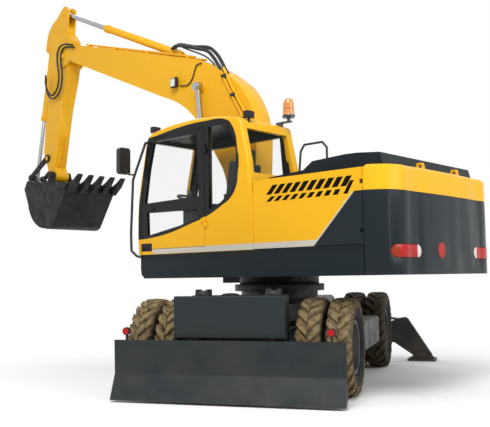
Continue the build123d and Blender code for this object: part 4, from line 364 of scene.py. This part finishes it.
tyre_rubber, tree, shader = finish(
    "carbon-black rubber with dried mud", RUBBER_BLACK, Specular_IOR_Level=0.25
)
place = uneven_gloss(tree, shader, 0.7, 0.9, 20.0)
grain = noise(tree, place, 14.0, 8.0, 0.7)
mud_share = add(tree, "Attribute", {"attribute_name": "mud"}).outputs["Fac"]
cover = math(tree, "MULTIPLY", mud_share, spread(tree, grain, 0.3, 0.52))
mud_colour = colour_over(tree, MUD_DARK, MUD_LIGHT, grain)
tree.links.new(colour_over(tree, RUBBER_BLACK, mud_colour, cover), shader.inputs["Base Color"])
for corner, (x, side) in WHEEL_PLACES.items():
    parts = []
    for mid in TYRE_MIDS:
        parts += [carcass(x, mid, side), lugs(x, mid, side)]
    starts = np.cumsum([0] + [len(p[0]) for p in parts])
    points = np.vstack([p[0] for p in parts])
    faces = np.vstack([p[1] + start for p, start in zip(parts, starts)])
    if side > 0:
        faces = faces[:, ::-1]
    tyre = shape("tyre_pair_" + corner, points, faces, tyre_rubber, "wheel_" + corner, "tyre_black")
    # The front tyres' smaller mud share is painted shade.
    mud = np.concatenate([p[2] for p in parts]) * (FRONT_MUD_AND_SHADE if "front" in corner else 1.0)
    tyre.data.attributes.new("mud", "FLOAT", "POINT").data.foreach_set("value", mud)
    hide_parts("tyres_" + corner)

# ---------------------------------------------------------------------------------------
# House: deck, counterweight, doors and cab share one paint scheme. Yellow meets charcoal
# along the tail's slanted line, and a light grey band runs along the foot of the sides. A
# strip of painted shade lies over the skirt's seam, and stripes of painted shade stand for
# the dark gaps of the hood's louvres.
SLEW = np.radians(64.8)
HOUSE_CHARCOAL = "#0f1b20"
BAND_GREY = "#c0baae"
BAND_Z = (1.604, 1.672)
BAND_X = (-1.6, 1.1)
SLANT_FOOT = (-1.509, 1.604)
SLANT_RISE = 1.024
TAIL_LINE_Z = 2.15
SLANT_LINE = 0.022
SLANT_LINE_X = -2.02
SKIRT_TOP_Z = 1.602
SKIRT_SEAM_Z = 1.53
SEAM_SHADE_TOP_Z = 1.75
SEAM_SHADE = 0.45
SHADE_BLACK = "#0b0e10"
LOUVRE_Z = (2.41, 2.51)
LOUVRE_X = (-1.9, -1.25)
LOUVRE_PITCH = 0.046
HOOD_EDGE = 0.03


def parked(points):
    """Turns points of the upper structure about Z by its slew angle, into the machine's frame."""
    points = np.asarray(points, float)
    c, s = np.cos(SLEW), np.sin(SLEW)
    return np.stack(
        [c * points[..., 0] - s * points[..., 1], s * points[..., 0] + c * points[..., 1], points[..., 2]], -1
    )


def house_axes(tree):
    """The upper structure's own x, y, z, from the object's coordinates turned back by the slew."""
    place = add(tree, "TexCoord")
    back = add(tree, "Mapping", {"Rotation": (0.0, 0.0, -SLEW)}, {"Vector": place.outputs["Object"]})
    return add(tree, "SeparateXYZ", None, {0: back.outputs["Vector"]})


def between(tree, value, low, high):
    """1 where low < value < high, otherwise 0."""
    over, under = math(tree, "GREATER_THAN", value, low), math(tree, "LESS_THAN", value, high)
    return math(tree, "MULTIPLY", over, under)


house_paint, tree, shader = finish(
    "house paint scheme", YELLOW, Coat_Weight=0.1, Coat_Roughness=0.12, Specular_IOR_Level=0.2
)
uneven_gloss(tree, shader, 0.3, 0.42, 4.0)
axes = house_axes(tree)
x, z = axes.outputs["X"], axes.outputs["Z"]
slant = math(tree, "MULTIPLY_ADD", math(tree, "SUBTRACT", SLANT_FOOT[0], x), SLANT_RISE)
slant.node.inputs[2].default_value = SLANT_FOOT[1]
dark_top = math(tree, "MINIMUM", slant, TAIL_LINE_Z)
dark = math(tree, "LESS_THAN", z, dark_top)
band = math(tree, "MULTIPLY", between(tree, z, *BAND_Z), between(tree, x, *BAND_X))
low_dark = math(tree, "LESS_THAN", z, SKIRT_TOP_Z)
line = between(tree, math(tree, "SUBTRACT", z, dark_top), 0.0, SLANT_LINE)
line = math(tree, "MULTIPLY", line, between(tree, x, SLANT_LINE_X, SLANT_FOOT[0]))
banded = colour_over(tree, YELLOW, BAND_GREY, math(tree, "MAXIMUM", band, line))
schemed = colour_over(tree, banded, HOUSE_CHARCOAL, math(tree, "MAXIMUM", dark, low_dark))
tree.links.new(schemed, shader.inputs["Base Color"])
dress("counterweight", house_paint)
for node in ("service_door_left", "service_door_right"):
    dress(node, house_paint)
house_charcoal, tree, shader = finish("charcoal house paint", HOUSE_CHARCOAL, Specular_IOR_Level=0.2)
uneven_gloss(tree, shader, 0.36, 0.5, 4.0)
axes = house_axes(tree)
x, z = axes.outputs["X"], axes.outputs["Z"]
# Painted shade: a darker strip over the skirt's seam, and near black stripes for the louvres' gaps.
over_seam = between(tree, z, SKIRT_SEAM_Z, SEAM_SHADE_TOP_Z)
slit = math(tree, "LESS_THAN", math(tree, "PINGPONG", x, LOUVRE_PITCH / 2), LOUVRE_PITCH / 5)
louvred = math(tree, "MULTIPLY", between(tree, x, *LOUVRE_X), between(tree, z, *LOUVRE_Z))
slit = math(tree, "MULTIPLY", slit, louvred)
shaded = math(tree, "MAXIMUM", math(tree, "MULTIPLY", over_seam, SEAM_SHADE), slit)
tree.links.new(colour_over(tree, HOUSE_CHARCOAL, SHADE_BLACK, shaded), shader.inputs["Base Color"])
for node in ("upper_frame", "engine_housing", "tank_cabinet"):
    dress(node, house_charcoal)
dress("engine_hood", house_charcoal, HOOD_EDGE)
powder_black = finish("black powder coat", "#26292b", Roughness=0.45)[0]
dress("handrails", powder_black, edge=0)

# ---------------------------------------------------------------------------------------
# Cab: pressed steel panels in yellow, with the window surrounds sprayed black down to one
# sweeping line, a black air vent low at the front, and the inside walls coloured near black as
# painted shade inside the cab.
GLAZING_BLACK = "#0f1112"
GLAZING_FOOT = [  # x, z of the sweeping line
    (-0.441, 2.582), (-0.412, 2.405), (-0.31, 2.234), (-0.141, 2.138), (0.103, 2.032), (0.373, 1.961),
    (0.75, 1.868), (1.046, 1.823), (1.42, 1.8),
]
GLAZING_TOP = [
    (-0.45, 2.7), (-0.404, 2.93), (-0.341, 3.08), (-0.26, 3.16), (0.13, 3.205), (0.64, 3.19), (1.12, 3.14),
]
GLAZING_BACK_X = -0.44
# Bounds of the painted shade inside the cab: across the cab, and how far it reaches above the glazing.
SIDE_Y = (0.31, 1.18)
SHADED_INSIDE_Y = (0.3, 1.178)
SHADE_ABOVE_GLAZING_TOP = 0.02
# Leaning lines of the front and the back: x0, z0, and how far x falls per metre of z.
FRONT_STRIP = ((1.399, 1.811, 0.048), (1.377, 2.268, 0.2175))
INNER_FRONT = (1.375, 2.15, 0.185)
INNER_REAR = (-0.61, 2.168, -0.168)
VENT_X = (1.12, 1.335)
VENT_Z = (1.64, 1.745)
VENT_INNER_Y = 1.17
INSIDE_SHADE_BLACK = "#0d0f10"
CURVE_X = (-0.5, 1.5)
CURVE_Z = (1.7, 3.3)


def height_at(tree, value, table):
    """A line's height at x, through a curve whose ends are CURVE_X and CURVE_Z."""
    node = add(tree, "FloatCurve", None, {"Value": spread(tree, value, *CURVE_X)})
    curve = node.mapping.curves[0]
    wide, high = CURVE_X[1] - CURVE_X[0], CURVE_Z[1] - CURVE_Z[0]
    rows = [((px - CURVE_X[0]) / wide, (pz - CURVE_Z[0]) / high) for px, pz in table]
    curve.points[0].location = (0.0, rows[0][1])
    curve.points[1].location = (1.0, rows[-1][1])
    for px, pz in rows:
        curve.points.new(px, pz)
    node.mapping.update()
    return spread(tree, node.outputs["Value"], 0.0, 1.0, *CURVE_Z)


def leaning(tree, z, line):
    """x of a leaning line at z: x0 - lean * (z - z0)."""
    x0, z0, lean = line
    node = math(tree, "MULTIPLY_ADD", math(tree, "SUBTRACT", z, z0), -lean)
    node.node.inputs[2].default_value = x0
    return node


cab_paint, tree, shader = finish(
    "cab paint scheme", YELLOW, Coat_Weight=0.1, Coat_Roughness=0.12, Specular_IOR_Level=0.2
)
uneven_gloss(tree, shader, 0.3, 0.42, 4.0)
axes = house_axes(tree)
x, y, z = (axes.outputs[name] for name in "XYZ")
over = math(tree, "GREATER_THAN", z, height_at(tree, x, GLAZING_FOOT))
under = math(tree, "LESS_THAN", z, height_at(tree, x, GLAZING_TOP))
ahead = math(tree, "GREATER_THAN", x, GLAZING_BACK_X)
outside = math(tree, "SUBTRACT", 1.0, between(tree, y, *SIDE_Y))
glazing = math(tree, "MULTIPLY", math(tree, "MULTIPLY", over, under), math(tree, "MULTIPLY", ahead, outside))
for line in FRONT_STRIP:
    glazing = math(tree, "MULTIPLY", glazing, math(tree, "LESS_THAN", x, leaning(tree, z, line)))
vent = math(tree, "MULTIPLY", between(tree, x, *VENT_X), between(tree, z, *VENT_Z))
vent = math(tree, "MULTIPLY", vent, math(tree, "GREATER_THAN", y, VENT_INNER_Y))
glazing = math(tree, "MAXIMUM", glazing, vent)
band = math(tree, "MULTIPLY", between(tree, z, *BAND_Z), math(tree, "LESS_THAN", x, BAND_X[1]))
# Painted shade: inside the cab, below the roof and between the leaning front and rear lines, the panels turn
# near black.
ceiling = math(tree, "ADD", height_at(tree, x, GLAZING_TOP), SHADE_ABOVE_GLAZING_TOP)
shaded_inside = math(tree, "MULTIPLY", between(tree, y, *SHADED_INSIDE_Y), math(tree, "LESS_THAN", z, ceiling))
shaded_inside = math(tree, "MULTIPLY", shaded_inside, math(tree, "LESS_THAN", x, leaning(tree, z, INNER_FRONT)))
shaded_inside = math(tree, "MULTIPLY", shaded_inside, math(tree, "GREATER_THAN", x, leaning(tree, z, INNER_REAR)))
banded = colour_over(tree, YELLOW, BAND_GREY, band)
glazing_and_inside_shade = colour_over(tree, colour_over(tree, banded, GLAZING_BLACK, glazing), INSIDE_SHADE_BLACK, shaded_inside)
tree.links.new(glazing_and_inside_shade, shader.inputs["Base Color"])
dress("cab_shell", cab_paint)
dress("cab_door", cab_paint)

# ---------------------------------------------------------------------------------------
# Panes: tempered glass, faintly green. Light passes nearly unbent, so they are thin and
# see-through with a clear sheen.
clear_glass = finish("tempered glass", "#5d6a66", Roughness=0.03, IOR=1.5, Alpha=0.03)[0]
for node in ("cab_glass", "door_glass"):
    dress(node, clear_glass, edge=0)

# ---------------------------------------------------------------------------------------
# Inside the cab: a woven cover over foam, so that the seat's edges are soft and its cloth
# catches a little light, and consoles moulded in dark grey plastic.
seat_cloth = finish("woven seat cover", "#1e2226", Roughness=0.9, Sheen_Weight=0.3)[0]
dress("operator_seat", seat_cloth, edge=0.02)
console_grey = finish("moulded ABS", "#2c2f31", Roughness=0.55)[0]
dress("control_consoles", console_grey, edge=0.006)

# ---------------------------------------------------------------------------------------
# Mirrors, lamps and beacon: moulded black housings, red and amber lenses. The tail lamps
# are dark red at their outer ends, red in the middle and clear at their inner ends.
HOUSING_BLACK = "#1b1c1d"
LENS_RED = "#a80d08"
LENS_DARK_RED = "#8f2a10"
LENS_CLEAR = "#cfc9c2"
AMBER = "#d8842f"
TAIL_LAMPS_X = -2.0
DARK_END_Y = (0.99, 2.0)
CLEAR_END_Y = (0.0, 0.68)
BEACON_BASE_Z = 3.287
BEACON_RING_Z = (3.36, 3.372)
BEACON_RING_SHARE = 0.5

housing_black = finish("moulded black polypropylene", HOUSING_BLACK, Roughness=0.5)[0]
dress("mirrors", housing_black, edge=0.01)
lamp_red, tree, shader = finish("red acrylic lens", LENS_RED, Roughness=0.2, Specular_IOR_Level=0.3, IOR=1.49)
axes = house_axes(tree)
tail = math(tree, "LESS_THAN", axes.outputs["X"], TAIL_LAMPS_X)
aside = math(tree, "ABSOLUTE", axes.outputs["Y"])
red = colour_over(tree, LENS_RED, LENS_DARK_RED, between(tree, aside, *DARK_END_Y))
red = colour_over(tree, red, LENS_CLEAR, between(tree, aside, *CLEAR_END_Y))
tree.links.new(colour_over(tree, HOUSING_BLACK, red, tail), shader.inputs["Base Color"])
dress("lamps", lamp_red, edge=0.004)
amber, tree, shader = finish("amber polycarbonate dome", AMBER, Roughness=0.15, Coat_Weight=0.5, IOR=1.58)
z = house_axes(tree).outputs["Z"]
base = math(tree, "LESS_THAN", z, BEACON_BASE_Z)
ring = math(tree, "MULTIPLY", between(tree, z, *BEACON_RING_Z), BEACON_RING_SHARE)
tree.links.new(
    colour_over(tree, AMBER, HOUSING_BLACK, math(tree, "MAXIMUM", base, ring)), shader.inputs["Base Color"]
)
dress("beacon", amber, edge=0.003)

# ---------------------------------------------------------------------------------------
# Slots of the service doors: two rows of slanted openings with a black screen behind them.
# They are thin black plates on a thin yellow skin plate, which stand 1.5 and 0.9 mm proud of
# the doors; the last opening of the lower row is long. The plates' black is the screen's own
# black and also painted shade of the openings' depth.
SLOT_FACE_Y = 1.228
SLOT_DEPTH = 0.004
SKIN_FACE_Y = 1.2274
SKIN_BACK_Y = 1.225
SKIN_X = (-2.05, -0.82)
SKIN_Z = (2.105, 2.325)
SLOT_ROWS = [  # count, foot x, foot pitch, head x, head pitch, foot z, head z, width
    (10, -0.853, -0.1131, -0.955, -0.1099, 2.208, 2.312, -0.076),
    (9, -0.852, -0.1149, -0.928, -0.1101, 2.128, 2.184, -0.066),
]
LONG_SLOT = [(-1.905, 2.128), (-1.96, 2.128), (-2.042, 2.262), (-1.994, 2.262)]


def brick(low, high):
    """A box's eight corners and six faces from two opposite corners."""
    pick = np.array([[0, 0, 0], [1, 0, 0], [1, 1, 0], [0, 1, 0], [0, 0, 1], [1, 0, 1], [1, 1, 1], [0, 1, 1]])
    points = np.where(pick, np.asarray(high, float), np.asarray(low, float))
    faces = np.array([[0, 3, 2, 1], [4, 5, 6, 7], [0, 1, 5, 4], [1, 2, 6, 5], [2, 3, 7, 6], [3, 0, 4, 7]])
    return points, faces


def slanted_row(count, foot, foot_pitch, head, head_pitch, low_z, high_z, width):
    """Corners x, z of a row: foot + pitch * i and that + width at low_z, head likewise at high_z."""
    i = np.arange(count)
    a, b = foot + foot_pitch * i, head + head_pitch * i
    low_row, high_row = np.full(count, low_z), np.full(count, high_z)
    corners = [(a, low_row), (a + width, low_row), (b + width, high_row), (b, high_row)]
    return np.stack([np.stack(corner, -1) for corner in corners], 1)


def plates(quads, side):
    """Each quad of x, z set at two depths y, side * (SLOT_FACE_Y - SLOT_DEPTH) and side * SLOT_FACE_Y."""
    depth = np.array([SLOT_FACE_Y - SLOT_DEPTH, SLOT_FACE_Y])[None, :, None] * side
    across, up = (np.repeat(quads[:, None, :, k], 2, 1) for k in (0, 1))
    points = np.stack([across, np.broadcast_to(depth, across.shape), up], -1).reshape(-1, 3)
    box = [[0, 1, 2, 3], [7, 6, 5, 4], [0, 4, 5, 1], [1, 5, 6, 2], [2, 6, 7, 3], [3, 7, 4, 0]]
    faces = (np.array(box)[None] + 8 * np.arange(len(quads))[:, None, None]).reshape(-1, 4)
    return points, faces[:, ::-1] if side < 0 else faces


quads = np.concatenate([slanted_row(*row) for row in SLOT_ROWS] + [np.array([LONG_SLOT])])
# Black of the screen, and painted shade of the openings' depth.
screen_black_and_shade = finish("black screen behind the slots", "#0c0b0a", Roughness=0.8, Specular_IOR_Level=0.1)[0]
for hand, side in (("left", 1), ("right", -1)):
    door = "service_door_" + hand
    near, far = sorted((side * SKIN_BACK_Y, side * SKIN_FACE_Y))
    points, faces = brick((SKIN_X[0], near, SKIN_Z[0]), (SKIN_X[1], far, SKIN_Z[1]))
    shape("slot_panel_" + hand, parked(points), faces, house_paint, door, "machine_yellow")
    points, faces = plates(quads, side)
    shape("door_slots_" + hand, parked(points), faces, screen_black_and_shade, door, "machine_grey")

# ---------------------------------------------------------------------------------------
# Boom trim: two pressure hoses and a thin one run back over the boom from beside the arm
# cylinder. Steel pipes under clamps go on from there, down the boom's left side. The work
# lamp's cable curls below them, and two hoses loop from the boom's tip to the arm.
HOSE_RUNS = [  # radius, y, points x, z
    (0.026, 0.02, [
        (1.98, 4.80), (1.87, 4.83), (1.57, 4.73), (1.26, 4.65), (1.1, 4.53), (1.0, 4.4), (0.92, 4.26),
        (0.87, 4.18),
    ]),
    (0.026, 0.085, [
        (1.98, 4.77), (1.83, 4.79), (1.41, 4.65), (1.21, 4.57), (1.08, 4.44), (1.0, 4.33), (0.92, 4.22),
        (0.85, 4.12),
    ]),
    (0.012, 0.1, [(1.71, 4.73), (1.57, 4.66), (1.4, 4.58), (1.23, 4.49), (1.12, 4.4), (1.05, 4.33)]),
    (0.009, 0.125, [(1.76, 4.15), (1.6, 4.13), (1.5, 4.2), (1.45, 4.3), (1.4, 4.39), (1.3, 4.4)]),
]
PIPE_R = 0.019
PIPE_RUNS = [  # y, points x, z
    (0.128, [(0.9, 4.2), (0.756, 3.93), (0.637, 3.72), (0.52, 3.52), (0.46, 3.3), (0.43, 3.05), (0.42, 2.8)]),
    (0.128, [(0.85, 4.24), (0.7, 3.96), (0.58, 3.75), (0.465, 3.55), (0.405, 3.32), (0.375, 3.07),
             (0.365, 2.8)]),
]
CLAMP_BOX = ((-0.05, 0.0, -0.022), (0.05, 0.045, 0.022))
CLAMP_PLACES = [(0.83, 0.108, 4.12), (0.665, 0.108, 3.82), (0.47, 0.108, 3.45), (0.4, 0.108, 3.0)]
LOOP_R = 0.016
LOOP_RUNS = [  # y, points x, z, from the boom's tip over to the arm
    (0.17, [(4.47, 5.38), (4.69, 5.44), (4.85, 5.43), (4.93, 5.32), (4.93, 5.15), (4.88, 4.9), (4.93, 4.69),
            (5.08, 4.59), (5.22, 4.68), (5.3, 4.84), (5.3, 5.0)]),
    (0.135, [(4.47, 5.34), (4.67, 5.40), (4.8, 5.39), (4.87, 5.29), (4.87, 5.13), (4.83, 4.9), (4.9, 4.64),
             (5.1, 4.54), (5.26, 4.63), (5.34, 4.8), (5.34, 4.96)]),
]


def tube(path, radius, sides=10, steps=6):
    """A round bar along a Catmull-Rom line through the points: centre + r (n cos a + b sin a)."""
    path = np.asarray(path, float)
    ends = np.vstack([2 * path[0] - path[1], path, 2 * path[-1] - path[-2]])
    s = np.linspace(0.0, 1.0, steps, endpoint=False)[None, :, None]
    p0, p1, p2, p3 = (ends[k:len(ends) - 3 + k, None, :] for k in range(4))
    bend, twist = 2 * p0 - 5 * p1 + 4 * p2 - p3, 3 * p1 - p0 - 3 * p2 + p3
    line = 0.5 * (2 * p1 + (p2 - p0) * s + bend * s ** 2 + twist * s ** 3)
    line = np.vstack([line.reshape(-1, 3), path[-1:]])
    along = np.gradient(line, axis=0)
    along /= np.linalg.norm(along, axis=1, keepdims=True)
    out = np.cross(along, [0.0, 1.0, 0.0])
    out /= np.linalg.norm(out, axis=1, keepdims=True)
    up = np.cross(along, out)
    a = 2 * np.pi * np.arange(sides)[None, :, None] / sides
    points = line[:, None] + radius * (out[:, None] * np.cos(a) + up[:, None] * np.sin(a))
    i, k = np.meshgrid(np.arange(len(line) - 1), np.arange(sides), indexing="ij")
    j = (k + 1) % sides
    faces = np.stack([i * sides + k, (i + 1) * sides + k, (i + 1) * sides + j, i * sides + j], -1)
    return points.reshape(-1, 3), faces.reshape(-1, 4)


def joined(parts):
    """Several point and face arrays as one."""
    starts = np.cumsum([0] + [len(points) for points, _ in parts])
    return (
        np.vstack([points for points, _ in parts]),
        np.vstack([faces + start for (_, faces), start in zip(parts, starts)]),
    )


def in_plane(y, run):
    """Points x, z set at one y."""
    run = np.asarray(run)
    return np.stack([run[:, 0], np.full(len(run), y), run[:, 1]], 1)


hose_rubber = finish("hose rubber", "#141414", Roughness=0.5)[0]
points, faces = joined([tube(in_plane(y, run), radius) for radius, y, run in HOSE_RUNS])
shape("boom_hoses", parked(points), faces, hose_rubber, "boom", "machine_grey", smooth=True)
points, faces = joined([tube(in_plane(y, run), PIPE_R) for y, run in PIPE_RUNS])
shape("boom_pipes", parked(points), faces, machine_yellow, "boom", "machine_yellow", smooth=True)
points, faces = many(*brick(*CLAMP_BOX), CLAMP_PLACES)
shape("boom_pipe_clamps", parked(points), faces, hose_rubber, "boom", "machine_grey", crease=0.004)
for number, (y, run) in enumerate(LOOP_RUNS):
    points, faces = tube(in_plane(y, run), LOOP_R)
    name = "tip_hose_%d" % number
    loop = shape(name, parked(points), faces, hose_rubber, None, "machine_grey", smooth=True)
    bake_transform(loop)

# ---------------------------------------------------------------------------------------
# Work lamp: a moulded black housing with rounded edges, held off the boom's left side by a
# bracket, with a clear lens on its outer face.
LAMP_BOX = ((1.78, 0.14, 4.13), (1.9, 0.2, 4.27))
LAMP_BRACKET = ((1.82, 0.09, 4.18), (1.86, 0.15, 4.3))
LAMP_LENS = ((1.795, 0.2, 4.145), (1.885, 0.204, 4.255))
points, faces = joined([brick(*LAMP_BOX), brick(*LAMP_BRACKET)])
shape("boom_lamp_case", parked(points), faces, housing_black, "boom", "machine_grey", crease=0.008)
lens_clear = finish("clear lamp lens", "#d8dad6", Roughness=0.1, Coat_Weight=0.5)[0]
points, faces = brick(*LAMP_LENS)
shape("boom_lamp_lens", parked(points), faces, lens_clear, "boom", "machine_grey")

# ---------------------------------------------------------------------------------------
# Lenses: round red position lamps at the head of the blade's posts, and an upright oval one
# on the tail. They are glossy acrylic and stand a little proud of what carries them.
POST_LENS_R = 0.034
POST_LENS_DEPTH = 0.012
POST_LENS_PLACES = [(-2.2565, 1.105, 0.733), (-2.2565, -1.105, 0.733)]
TAIL_LENS_HALF = (0.075, 0.085)
TAIL_LENS_DEPTH = 0.004
TAIL_LENS_AT = (-2.4405, 0.18, 1.55)
post_red = finish("red lens of the position lamps", "#a50c08", Roughness=0.2, Specular_IOR_Level=0.3)[0]
points, faces = many(*prism(POST_LENS_R, -POST_LENS_DEPTH, sides=20, axis=0), POST_LENS_PLACES)
shape("blade_post_lenses", points, faces[:, ::-1], post_red, "blade", "lamp_red")
points, faces = prism(1.0, -TAIL_LENS_DEPTH, sides=28, axis=0)
points = points * (1.0, *TAIL_LENS_HALF) + TAIL_LENS_AT
shape("tail_round_lamp", parked(points), faces[:, ::-1], post_red, "upper", "lamp_red")

# ---------------------------------------------------------------------------------------
# Studio: a pale floor that fades to white away from the machine, a white background, a big
# soft key lamp from the camera's side, a fill from the right and one from behind.
CAMERA_AT = np.array([-9.533, -2.504, 1.283])
YAW, PITCH, ROLL = np.radians([17.27, 4.91, -0.84])
FOCAL_MM = 54.84
FLOOR_HALF = 60.0
FLOOR_FADE = (2.4, 6.0)
WORLD_LEVEL = 0.55
LAMPS_AIM = np.array([0.0, 0.5, 1.8])
LAMPS = [  # name, place, watts, size
    ("key", (-9.0, -1.0, 11.0), 1100.0, 6.0),
    ("fill", (-4.0, -12.0, 7.0), 520.0, 7.0),
    ("back", (8.0, 8.0, 10.0), 480.0, 6.0),
]


def place_looking(name, data, at, right, up, back):
    """Links an object whose x, y and z axes are right, up and back, at a place."""
    obj = bpy.data.objects.new(name, data)
    bpy.context.scene.collection.objects.link(obj)
    pose = np.eye(4)
    pose[:3, 0], pose[:3, 1], pose[:3, 2], pose[:3, 3] = right, up, back, at
    obj.matrix_world = mathutils.Matrix(pose.tolist())
    return obj


def white_rays(tree):
    """1 for the rays that see the background as white: camera, glossy and transmission rays."""
    rays = add(tree, "LightPath").outputs
    seen = math(tree, "MAXIMUM", rays["Is Camera Ray"], rays["Is Glossy Ray"])
    return math(tree, "MAXIMUM", seen, rays["Is Transmission Ray"])


camera_data = bpy.data.cameras.new("camera")
camera_data.sensor_width = 36.0
camera_data.lens = FOCAL_MM
camera_data.clip_end = 200.0
ahead_dir = np.array([np.cos(YAW) * np.cos(PITCH), np.sin(YAW) * np.cos(PITCH), np.sin(PITCH)])
right_dir = np.array([np.sin(YAW), -np.cos(YAW), 0.0])
up_dir = np.cross(right_dir, ahead_dir)
right_rolled = right_dir * np.cos(ROLL) + up_dir * np.sin(ROLL)
up_rolled = up_dir * np.cos(ROLL) - right_dir * np.sin(ROLL)
bpy.context.scene.camera = place_looking(
    "camera", camera_data, CAMERA_AT, right_rolled, up_rolled, -ahead_dir
)
bpy.context.scene.view_settings.view_transform = "Standard"

corners = np.array([(-1, -1, 0), (1, -1, 0), (1, 1, 0), (-1, 1, 0)]) * FLOOR_HALF
floor_mesh = bpy.data.meshes.new("floor")
floor_mesh.from_pydata(corners.tolist(), [], [(0, 1, 2, 3)])
floor = bpy.data.objects.new("floor", floor_mesh)
bpy.context.scene.collection.objects.link(floor)
floor_white, tree, shader = finish("matt white floor", "#fbfbfa", Roughness=0.95, Specular_IOR_Level=0.1)
place = add(tree, "TexCoord")
reach = add(tree, "VectorMath", {"operation": "LENGTH"}, {0: place.outputs["Object"]})
fade = add(
    tree, "MapRange",
    {"interpolation_type": "SMOOTHSTEP", "From Min": FLOOR_FADE[0], "From Max": FLOOR_FADE[1]},
    {"Value": reach.outputs["Value"]},
)
white = add(tree, "Emission", {"Strength": 1.0})
share = math(tree, "MULTIPLY", fade.outputs["Result"], white_rays(tree))
faded = add(tree, "MixShader", None, {0: share, 1: shader.outputs[0], 2: white.outputs[0]})
tree.links.new(faded.outputs[0], tree.nodes["Material Output"].inputs["Surface"])
floor_mesh.materials.append(floor_white)

world = bpy.data.worlds.new("pale studio")
bpy.context.scene.world = world
world.use_nodes = True
background = world.node_tree.nodes["Background"]
background.inputs["Color"].default_value = (1.0, 1.0, 1.0, 1.0)
level = spread(world.node_tree, white_rays(world.node_tree), 0.0, 1.0, to_low=WORLD_LEVEL)
world.node_tree.links.new(level, background.inputs["Strength"])
for name, at, watts, size in LAMPS:
    light = bpy.data.lights.new(name, "AREA")
    light.energy = watts
    light.size = size
    away = np.array(at) - LAMPS_AIM
    away = away / np.linalg.norm(away)
    side_dir = np.cross([0, 0, 1], away)
    side_dir = side_dir / np.linalg.norm(side_dir)
    place_looking(name, light, at, side_dir, np.cross(away, side_dir), away)
